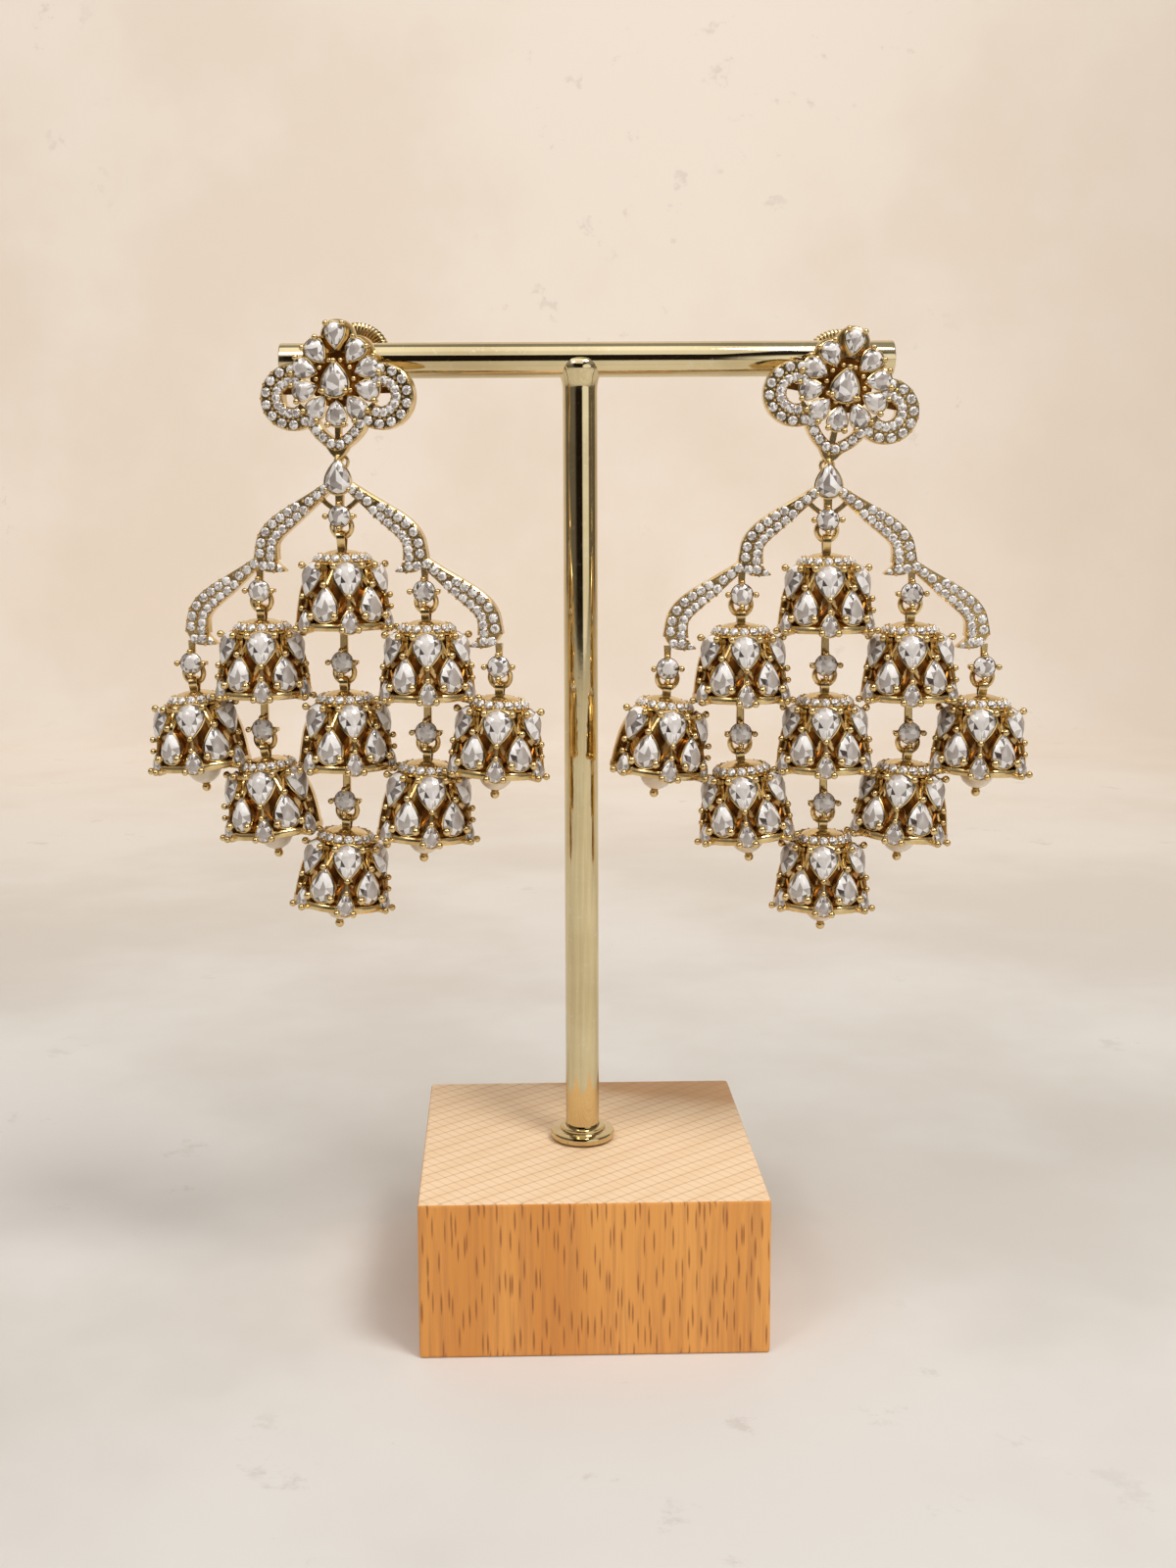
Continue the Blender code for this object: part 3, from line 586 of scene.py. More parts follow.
def smooth_path(points: Sequence[Sequence[float]], count: int) -> np.ndarray:
    """Evenly spread points on a smooth curve through given ones.

    Args:
        points: The rows that the curve goes through; each may hold more than a place.
        count: How many points come back.

    Returns:
        One row a point, with the same columns.
    """
    rows = np.array(points, float)
    padded = np.vstack([2 * rows[0] - rows[1], rows, 2 * rows[-1] - rows[-2]])
    fine = []
    for i in range(len(rows) - 1):
        a, b, c, d = padded[i:i + 4]
        for t in np.linspace(0, 1, 24, endpoint=False):
            fine.append(0.5 * (2 * b + (c - a) * t + (2 * a - 5 * b + 4 * c - d) * t ** 2
                               + (3 * b - a - 3 * c + d) * t ** 3))
    fine = np.array(fine + [rows[-1]])
    along = lengths(fine)
    wanted = np.linspace(0, along[-1], count)
    return np.stack([np.interp(wanted, along, column) for column in fine.T], axis=1)


@dataclass
class Band:
    """A flat band that follows a path in the XZ plane, with a width at each point and a chamfered front."""

    path: np.ndarray
    front: float
    back: float
    edge: float = 0.25

    def across(self) -> np.ndarray:
        """The unit direction across the band at each point."""
        along = np.gradient(self.path[:, :2], axis=0)
        along /= np.linalg.norm(along, axis=1, keepdims=True)
        return np.stack([along[:, 1], -along[:, 0]], axis=1)

    def form(self) -> Form:
        """The band's solid."""
        section = [(-1, 0, self.back), (-1, 0, self.front + self.edge), (-1, self.edge, self.front),
                   (1, self.edge, self.front), (1, 0, self.front + self.edge), (1, 0, self.back)]
        points = []
        for (x, z, width), (ax, az) in zip(self.path, self.across()):
            for side, inset, depth in section:
                reach = side * max(width / 2 - inset, 0.02)
                points.append((x + ax * reach, depth, z + az * reach))
        m = len(section)
        faces = [(i * m + j, i * m + (j + 1) % m, (i + 1) * m + (j + 1) % m, (i + 1) * m + j)
                 for i in range(len(self.path) - 1) for j in range(m)]
        last = (len(self.path) - 1) * m
        faces += [tuple(range(m)), tuple(range(last, last + m))]
        return Form(np.array(points), faces).outward()


def cut_stone(outline: np.ndarray, centre: tuple[float, float], rise: float, depth: float) -> Form:
    """A faceted stone in the XZ plane that faces the front.

    Args:
        outline: Sixteen girdle points (x, z).
        centre: The point that its table draws in to.
        rise: From the girdle up to the table.
        depth: From the girdle down to its keel.

    Returns:
        The stone, flat shaded, with its table in separate shards.
    """
    middle = np.array(centre)

    def ring(rows: np.ndarray, share: float, y: float) -> np.ndarray:
        """Girdle points drawn in to the middle by a share, at a depth."""
        flat = middle + (rows - middle) * share
        return np.stack([flat[:, 0], np.full(len(flat), y), flat[:, 1]], axis=1)

    table = ring(outline[0::2], 0.56, -rise)
    crown = ring(outline[1::2], 0.83, -rise * 0.52)
    girdle = ring(outline, 1.0, 0.0)
    lower = ring(outline, 0.97, depth * 0.25)
    heart = np.array([[middle[0], -rise, middle[1]], [middle[0], depth, middle[1]]])
    points = np.vstack([table, crown, girdle, lower, heart])
    t, c, g, low, top, keel = 0, 8, 16, 32, 48, 49
    faces = []
    for i in range(8):
        n, j, k = (i + 1) % 8, 2 * i, (2 * i + 2) % 16
        faces += [(top, t + n, t + i), (t + i, t + n, c + i), (t + i, c + i, g + j), (t + n, g + k, c + i),
                  (c + i, g + j + 1, g + j), (c + i, g + k, g + j + 1)]
    for j in range(16):
        k = (j + 1) % 16
        faces += [(g + j, g + k, low + k, low + j), (low + j, low + k, keel)]
    return Form(points, faces, smooth=False).outward()


def ring_outline(radius: float) -> np.ndarray:
    """Sixteen points of a circle, from the top."""
    turns = np.arange(16) * math.pi / 8
    return np.stack([radius * np.sin(turns), radius * np.cos(turns)], axis=1)


def pear_outline(width: float, length: float, count: int = 16) -> np.ndarray:
    """Points of a pear with its point up, from that point.

    Args:
        width: Its full width.
        length: Its full length.
        count: How many points come back.

    Returns:
        One row (x, z) a point.
    """
    turns = np.arange(count) * 2 * math.pi / count
    fullest = 4 / math.sqrt(27)
    across = width / 2 * np.sin(turns) * np.sin(turns / 2) / fullest
    return np.stack([across, length / 2 * np.cos(turns)], axis=1)


@lru_cache(maxsize=None)
def round_stone(radius: float) -> Form:
    """A round stone."""
    return cut_stone(ring_outline(radius), (0.0, 0.0), radius * 0.36, radius * 0.8)


@lru_cache(maxsize=None)
def pear_stone(width: float, length: float) -> Form:
    """A pear stone with its point up."""
    return cut_stone(pear_outline(width, length), (0.0, -length * 0.13), width * 0.2, width * 0.42)


@lru_cache(maxsize=None)
def pear_rim(width: float, length: float, wire: float) -> Form:
    """The thin wall of gold round a pear stone.

    Args:
        width: The stone's width.
        length: The stone's length.
        wire: How thick the wall is.

    Returns:
        The closed wall, with its point up.
    """
    sides = 28
    outline = pear_outline(width + wire, length + wire, sides)
    points, faces = [], []
    for x, z in outline:
        reach = math.hypot(x, z)
        grow = (reach + wire) / reach
        points += [(x, 0.12, z), (x * grow, 0.2, z * grow), (x * grow * 0.9, 1.15, z * grow * 0.9),
                   (x * 0.82, 1.15, z * 0.82)]
    for i in range(sides):
        k = (i + 1) % sides
        faces += [(4 * i + j, 4 * i + (j + 1) % 4, 4 * k + (j + 1) % 4, 4 * k + j) for j in range(4)]
    return Form(np.array(points), faces).outward()


def thickened(form: Form, inward: np.ndarray, depth: float) -> Form:
    """An open sheet made solid.

    Args:
        form: The sheet.
        inward: One unit direction a point.
        depth: Its thickness.

    Returns:
        The closed form.
    """
    count = len(form.points)
    points = np.vstack([form.points, form.points + inward * depth])
    faces = list(form.faces) + [tuple(i + count for i in reversed(face)) for face in form.faces]
    edges: dict[tuple[int, int], int] = {}
    for face in form.faces:
        for a, b in zip(face, face[1:] + face[:1]):
            edges[a, b] = edges.get((a, b), 0) + 1
    faces += [(b, a, a + count, b + count) for a, b in edges if (b, a) not in edges]
    return Form(points, faces)


class Sketch:
    """Collects forms, each with a finish, and turns them into one mesh."""

    def __init__(self, seed: int) -> None:
        """Starts empty.

        Args:
            seed: Sets the painted reflections on the stones' facets.
        """
        self.points: list[np.ndarray] = []
        self.faces: list[tuple[int, ...]] = []
        self.slots: list[Finish] = []
        self.face_slots: list[int] = []
        self.smooth: list[bool] = []
        self.light: list[float] = []
        self.count = 0
        self.random = np.random.default_rng(seed)

    def painted_facet_reflections(self, many: int) -> list[float]:
        """Draws the painted reflection of each facet of one stone: how light it is.

        Args:
            many: Its number of facets.

        Returns:
            A value from 0 to 1 for each; the table's eight shards share two values.
        """
        pick = self.random.random(many)
        level = self.random.random(many)
        light = np.where(pick < 0.20, level * 0.25,
                         np.where(pick < 0.46, 0.38 + level * 0.3, 0.8 + level * 0.2))
        halves = (level[0] * 0.40 + 0.33, 0.95 if pick[0] < 0.5 else level[1] * 0.40 + 0.35)
        split = int(pick[1] * 8)
        for shard in range(8):
            light[shard * 6] = halves[(shard - split) % 8 < 3]
        return light.tolist()

    def add(self, form: Form, finish: Finish, place: Matrix | None = None) -> None:
        """Adds a form.

        Args:
            form: What to add.
            finish: Its finish.
            place: Where it goes, in millimetres.
        """
        matrix = np.array(place if place is not None else Matrix())
        self.points.append(form.points @ matrix[:3, :3].T + matrix[:3, 3])
        if finish not in self.slots:
            self.slots.append(finish)
        flip = np.linalg.det(matrix[:3, :3]) < 0
        for face in form.faces:
            moved = tuple(i + self.count for i in face)
            self.faces.append(moved[::-1] if flip else moved)
        many = len(form.faces)
        self.face_slots += [self.slots.index(finish)] * many
        self.smooth += [form.smooth] * many
        # Stone facets get painted reflections; other faces get 0.5, which no material reads.
        if finish is Finish.STONE:
            self.light += self.painted_facet_reflections(many)
        else:
            self.light += [0.5] * many
        self.count += len(form.points)

    def claw(self, place: Matrix, x: float, z: float, front: float, size: float = 0.3,
             back: float = 0.9) -> None:
        """Adds a ball-headed claw.

        Args:
            place: The place of the stone that it holds.
            x: Where it stands across the stone.
            z: Where it stands along the stone.
            front: The depth of its head.
            size: The radius of its head.
            back: The depth of its foot.
        """
        here = place @ shift(x, 0, z)
        self.add(ball(size), Finish.GOLD, here @ shift(0, front, 0))
        self.add(pin(size * 0.62, front, back, 6), Finish.GOLD, here)

    def mesh(self, name: str) -> bpy.types.Mesh:
        """Builds the mesh of what was added.

        Args:
            name: The mesh's name.

        Returns:
            The mesh, in metres.
        """
        mesh = bpy.data.meshes.new(name)
        mesh.from_pydata((np.vstack(self.points) * MM).tolist(), [], self.faces)
        for finish in self.slots:
            mesh.materials.append(bpy.data.materials[finish.value])
        mesh.polygons.foreach_set("material_index", self.face_slots)
        mesh.polygons.foreach_set("use_smooth", self.smooth)
        # The painted facet reflections go into the corner colour attribute "facet".
        sizes = [len(face) for face in self.faces]
        corners = np.repeat(np.array(self.light, np.float32), sizes)
        colours = np.ones((len(corners), 4), np.float32)
        colours[:, :3] = corners[:, None]
        layer = mesh.color_attributes.new("facet", "FLOAT_COLOR", "CORNER")
        layer.data.foreach_set("color", colours.ravel())
        mesh.update()
        mesh.set_sharp_from_angle(angle=math.radians(40))
        return mesh


# The earrings


@dataclass
class Pave:
    """Rows of small round stones with beads between them, set along a band."""

    stone: float = 0.67
    spacing: float = 1.42
    bead: float = 0.26
    two_rows_from: float = 2.35
    row_offset: float = 0.245
    bead_reach: float = 0.95
    bead_margin: float = 0.1

    def set(self, sketch: Sketch, place: Matrix, band: Band, begin: float = 0.7, end: float = 0.4) -> None:
        """Sets the stones.

        Args:
            sketch: Where they are added.
            place: The band's place.
            band: The band that carries them.
            begin: Millimetres left bare at its start.
            end: Millimetres left bare at its end.
        """
        path = band.path
        along = lengths(path)
        across = band.across()
        stops = np.arange(begin, along[-1] - end, self.spacing)
        for number, s in enumerate(stops):
            width = np.interp(s, along, path[:, 2])
            rows = (0.0,) if width < self.two_rows_from else (-self.row_offset, self.row_offset)
            for row, offset in enumerate(rows):
                for half, form in ((0.0, round_stone(self.stone)), (0.5, ball(self.bead, 1))):
                    t = min(s + (half + 0.5 * row) * self.spacing, along[-1])
                    x, z = (np.interp(t, along, path[:, i])
                            + np.interp(t, along, across[:, i]) * offset * width for i in (0, 1))
                    if half:
                        reach = self.stone * self.bead_reach
                        ax, az = (np.interp(t, along, across[:, i]) * reach for i in (0, 1))
                        room = np.interp(t, along, path[:, 2]) / 2 + self.bead_margin - reach
                        if abs(offset * width) > room:
                            continue
                        for side in (-1, 1):
                            spot = shift(x + ax * side, band.front - 0.05, z + az * side)
                            sketch.add(form, Finish.GOLD, place @ spot)
                    else:
                        turn = spin(37.0 * number, "Y")
                        sketch.add(form, Finish.STONE, place @ shift(x, band.front - 0.1, z) @ turn)


@dataclass
class Station:
    """A round stone in four claws on a diamond plate, with a face-on ring under it."""

    stone: float = 1.58
    girdle: float = -0.55
    claw_side: float = 2.05
    claw_end: float = 1.78
    plate_reach: float = 2.3
    plate_front: float = 0.05
    plate_back: float = 0.6
    ring_radius: float = 1.45
    ring_wire: float = 0.42
    ring_drop: float = 1.55
    ring_back: float = 0.75

    def add_to(self, sketch: Sketch, place: Matrix) -> None:
        """Adds the station.

        Args:
            sketch: Where it is added.
            place: The place of its stone's centre.
        """
        sketch.add(round_stone(self.stone), Finish.STONE, place @ shift(0, self.girdle, 0) @ spin(11.0, "Y"))
        # The cup under the stone is painted shade.
        cup = lathe([(self.stone * 1.06, 0.0), (self.stone * 0.8, -0.75)], 20)
        sketch.add(cup, Finish.PAINTED_SHADE, place @ shift(0, self.girdle + 0.05, 0) @ spin(90, "X"))
        sketch.add(link(self.stone * 0.98, 0.13, 24, 6), Finish.GOLD,
                   place @ shift(0, self.girdle + 0.28, 0) @ spin(90, "X"))
        for x, z in ((-self.claw_side, 0), (self.claw_side, 0), (0, self.claw_end), (0, -self.claw_end)):
            sketch.claw(place, x, z, self.girdle - 0.3, 0.45, self.plate_back)
        reach = self.plate_reach
        side = np.array([(-reach, 0.0, 0.5), (-reach * 0.55, 0.0, 0.7), (0.0, 0.0, reach * 1.7),
                         (reach * 0.55, 0.0, 0.7), (reach, 0.0, 0.5)])
        sketch.add(Band(side, self.plate_front, self.plate_back, 0.12).form(), Finish.GOLD, place)
        sketch.add(link(self.ring_radius, self.ring_wire), Finish.GOLD,
                   place @ shift(0, self.ring_back, -self.ring_drop) @ spin(90, "X"))


@dataclass
class Hanger:
    """The strap loop through a station's ring, and the flat stem through a bell's dome."""

    hang: float
    loop_radius: float = 0.8
    strap: float = 0.34
    half_width: float = 0.58
    shoulder: float = 0.95
    shoulder_height: float = 0.5

    def add_to(self, sketch: Sketch, end: float) -> None:
        """Adds the strap and the stem.

        Args:
            sketch: Where they are added.
            end: The height of the stem's lower end.
        """
        foot = -self.hang - 0.1
        turns = np.linspace(0, math.pi, 9)
        loop = [(self.loop_radius * math.cos(t), self.loop_radius * math.sin(t)) for t in turns]
        loop += [(-self.loop_radius, -0.35), (-0.35, foot), (0.35, foot), (self.loop_radius, -0.35)]
        points, faces = [], []
        for y, z in loop:
            reach = math.hypot(y, z) or 1.0
            for share in (1 + self.strap / 2 / reach, 1 - self.strap / 2 / reach):
                points += [(-self.half_width, y * share, z * share), (self.half_width, y * share, z * share)]
        many = len(loop)
        sides = ((0, 1), (1, 3), (3, 2), (2, 0))
        for i in range(many):
            k = (i + 1) % many
            faces += [(4 * i + a, 4 * i + b, 4 * k + b, 4 * k + a) for a, b in sides]
        sketch.add(Form(np.array(points), faces).outward(), Finish.GOLD)
        stem = np.array([(0.0, foot + 0.4, 1.0), (0.0, foot - 1.2, 0.8), (0.0, end, 1.15)])
        sketch.add(Band(stem, -0.3, 0.3, 0.1).form(), Finish.GOLD)
        under = -self.hang - 1.1
        low = under - self.shoulder_height
        shoulder = [(0.0, under), (self.shoulder, under), (self.shoulder, low), (0.0, low)]
        sketch.add(lathe(shoulder, 16), Finish.GOLD)


@dataclass
class StationDrop:
    """A hanger that ends in a round-stone station under its bell."""

    hang: float
    bell_height: float = 11.0
    bell_to_station: float = 5.1

    def mesh(self, name: str) -> bpy.types.Mesh:
        """Builds the piece about the centre of its strap loop.

        Args:
            name: The mesh's name.

        Returns:
            The mesh, in metres.
        """
        sketch = Sketch(seed=91)
        station = Station()
        stone_z = -self.hang - self.bell_height - self.bell_to_station
        Hanger(self.hang).add_to(sketch, stone_z + 1.0)
        station.add_to(sketch, shift(0, -station.ring_back, stone_z))
        return sketch.mesh(name)


@dataclass
class PearlDrop:
    """A hanger that ends in a pearl and a small ball below its bell."""

    hang: float
    bell_height: float = 11.0
    pearl: float = 2.5
    pearl_rise: float = -0.3
    ball_radius: float = 0.68

    def mesh(self, name: str) -> bpy.types.Mesh:
        """Builds the piece about the centre of its strap loop.

        Args:
            name: The mesh's name.

        Returns:
            The mesh, in metres.
        """
        sketch = Sketch(seed=12)
        pearl_z = -self.hang - self.bell_height + self.pearl_rise
        ball_z = pearl_z - self.pearl - self.ball_radius + 0.12
        Hanger(self.hang).add_to(sketch, pearl_z + 2.0)
        turns = np.linspace(0, math.pi, 25)
        sphere = [(self.pearl * math.sin(t) if 0 < i < 24 else 0.0, self.pearl * math.cos(t))
                  for i, t in enumerate(turns)]
        sketch.add(lathe(sphere, 40), Finish.PEARL, shift(0, 0, pearl_z))
        cap = [(0.0, 0.1), (0.6, 0.02), (0.85, -0.16), (0.75, -0.24)]
        for side in (1, -1):
            place = shift(0, 0, pearl_z + side * self.pearl) @ spin(90 - 90 * side, "X")
            sketch.add(lathe(cap, 16), Finish.GOLD, place)
        sketch.add(ball(self.ball_radius, 3), Finish.GOLD, shift(0, 0, ball_z))
        return sketch.mesh(name)


@dataclass(frozen=True)
class StoneRow:
    """One row of pear stones round a bell's front."""

    width: float
    length: float
    down: float
    out: float
    tilt: float
    turns: tuple[float, ...]
    point_down: bool
    head: float


@dataclass
class Bell:
    """A domed bell with an openwork front of pear stones and a plain smooth back."""

    downs: tuple[float, ...] = (0.0, 0.15, 0.45, 0.8, 1.1, 2.0, 3.0, 4.5, 6.0, 8.0, 11.0)
    radii: tuple[float, ...] = (0.8, 1.9, 2.9, 3.45, 3.8, 4.5, 5.05, 5.75, 6.15, 6.5, 6.8)
    height: float = 11.1
    dome_rise: float = 0.3
    wall: float = 0.5
    back_proud: float = 0.25
    web_sunk: float = 0.95
    back_from: float = 84.0
    crown_count: int = 16
    crown_down: float = 0.75
    crown_radius: float = 3.6
    upper: StoneRow = StoneRow(4.05, 5.1, 3.75, 5.9, 20.0, (-60.0, 0.0, 60.0), True, 0.56)
    lower: StoneRow = StoneRow(3.75, 5.0, 7.25, 6.6, 7.0, (-31.0, 31.0), False, 0.62)
    small: StoneRow = StoneRow(2.4, 3.3, 9.75, 7.1, 4.0, (-60.0, 0.0, 60.0), False, 0.52)
    windows: tuple[tuple[float, float, float, float], ...] = (
        (-30.0, 3.2, 12.0, 2.3), (30.0, 3.2, 12.0, 2.3), (0.0, 7.3, 15.0, 2.6), (-60.0, 7.3, 14.0, 2.6),
        (60.0, 7.3, 14.0, 2.6))
    arm: float = 0.27

    def radius(self, down: float) -> float:
        """The outer radius at a depth below the dome."""
        return float(np.interp(down, self.downs, self.radii))

    def sheet(self, start: float, sweep: float, steps: int, rows: Sequence[float], proud: float,
              pierced: bool) -> Form:
        """A thick sheet that follows the bell's outline.

        Args:
            start: The angle it starts at.
            sweep: The degrees that it goes round.
            steps: Its columns.
            rows: The depth of each row.
            proud: How far it stands outside the outline.
            pierced: Whether the openings are cut.

        Returns:
            The closed form.
        """
        sheet = lathe([(self.radius(d) + proud, -d) for d in rows], steps, start=start, sweep=sweep)
        if pierced:
            kept = []
            for face in sheet.faces:
                x, y, z = sheet.points[list(face)].mean(axis=0)
                angle = math.degrees(math.atan2(x, -y))
                if all(abs(angle - turn) / wide + abs(-z - down) / high > 1.0
                       for turn, down, wide, high in self.windows):
                    kept.append(face)
            sheet.faces = kept
        inward = -sheet.points * np.array((1.0, 1.0, 0.0))
        inward /= np.linalg.norm(inward, axis=1, keepdims=True)
        return thickened(sheet, inward, self.wall)

    def spot(self, turn: float, down: float, proud: float) -> Vector:
        """A point at a turn and depth, some way outside the outline."""
        out = self.radius(down) + proud
        return Vector((out * math.sin(math.radians(turn)), -out * math.cos(math.radians(turn)), -down))

    def arms(self, sketch: Sketch) -> None:
        """Adds the thin arms that tie the settings together in front of the openings.

        Args:
            sketch: Where they are added.
        """
        for turn in self.lower.turns:
            for corner in (-20.0, 20.0):
                near = round(turn / 60.0 + math.copysign(0.5, corner)) * 60.0 - corner
                ends = self.spot(turn, 4.9, 0.1), self.spot(near, 2.0, 0.05)
                sketch.add(rod_between(*ends, self.arm), Finish.GOLD)
        for turn in self.upper.turns:
            ends = self.spot(turn, 6.1, 0.0), self.spot(turn, 8.2, 0.2)
            sketch.add(rod_between(*ends, self.arm), Finish.GOLD)
            for side in (-12.0, 12.0):
                ends = self.spot(turn, 6.6, -0.2), self.spot(turn + side, 8.4, -0.1)
                # The side arms are drawn in painted shade.
                sketch.add(rod_between(*ends, self.arm * 0.8), Finish.PAINTED_SHADE)

    def stones(self, sketch: Sketch, row: StoneRow) -> None:
        """Adds one row of pear stones with their rims and claws.

        Args:
            sketch: Where they are added.
            row: Their sizes and places.
        """
        for turn in row.turns:
            place = spin(turn, "Z") @ shift(0, -row.out, -row.down) @ spin(-row.tilt, "X")
            flat = place @ spin(180.0 if row.point_down else 0.0, "Y")
            sketch.add(pear_stone(row.width, row.length), Finish.STONE, flat)
            sketch.add(pear_rim(row.width, row.length, 0.16), Finish.GOLD, flat)
            sketch.claw(flat, 0, row.length / 2 + 0.2, -0.5, row.head * 0.85)
            for side in (-1, 1):
                sketch.claw(flat, side * row.width * 0.49, -row.length * 0.36, -0.6, row.head)

    def crown(self, sketch: Sketch) -> None:
        """Adds the ring of small stones round the dome.

        Args:
            sketch: Where they are added.
        """
        step = 360.0 / self.crown_count
        r, low = self.crown_radius, self.crown_down
        band = [(r - 0.55, 0.35 - low), (r + 0.28, -0.05 - low), (r + 0.5, -0.65 - low),
                (r - 0.1, -0.95 - low)]
        sketch.add(lathe(band, 48, closed=True), Finish.GOLD)
        sketch.add(link(r + 0.55, 0.22, 48, 6), Finish.GOLD, shift(0, 0, -0.85 - low))
        for i in range(self.crown_count):
            here = spin(step * i, "Z") @ shift(0, -r - 0.2, -0.1 - low) @ spin(-42.0, "X")
            sketch.add(round_stone(0.64), Finish.STONE, here @ shift(0, -0.12, 0))
            between = spin(step * (i + 0.5), "Z")
            for out, down in ((-0.15, -0.3), (0.55, 0.55)):
                sketch.add(ball(0.28, 2), Finish.GOLD, between @ shift(0, -r - out, -low - down))

    def mesh(self, name: str) -> bpy.types.Mesh:
        """Builds the bell about the top of its dome.

        Args:
            name: The mesh's name.

        Returns:
            The mesh, in metres.
        """
        sketch = Sketch(seed=7)
        dome = [(self.radius(d), self.dome_rise * (1.0 - d / 1.1) - d)
                for d in (0.0, 0.15, 0.3, 0.45, 0.62, 0.8, 1.1)]
        dome += [(3.2, -1.5), (0.8, -0.6)]
        sketch.add(lathe(dome, 48, closed=True), Finish.GOLD)
        fine = np.arange(1.1, 10.61, 0.3)
        # The pierced web behind the stones is painted shade, sunk inside the outline.
        sketch.add(self.sheet(-96, 192, 96, fine, -self.web_sunk, pierced=True), Finish.PAINTED_SHADE)
        rows = (1.4, 2.0, 3.0, 4.0, 5.0, 6.0, 7.0, 8.5, 10.0, 10.9)
        sweep = 360 - 2 * self.back_from
        back = self.sheet(self.back_from, sweep, 40, rows, self.back_proud, pierced=False)
        sketch.add(back, Finish.GOLD)
        rim = self.radius(10.6)
        low = -self.height
        band = [(rim + 0.12, low + 1.05), (rim + 0.3, low + 0.85), (rim + 0.34, low + 0.2), (rim + 0.2, low),
                (rim - 0.35, low), (rim - 0.95, low + 0.3), (rim - 0.95, low + 1.05)]
        sketch.add(lathe(band, 64, closed=True), Finish.GOLD)
        self.crown(sketch)
        self.arms(sketch)
        for row in (self.upper, self.lower, self.small):
            self.stones(sketch, row)
        return sketch.mesh(name)


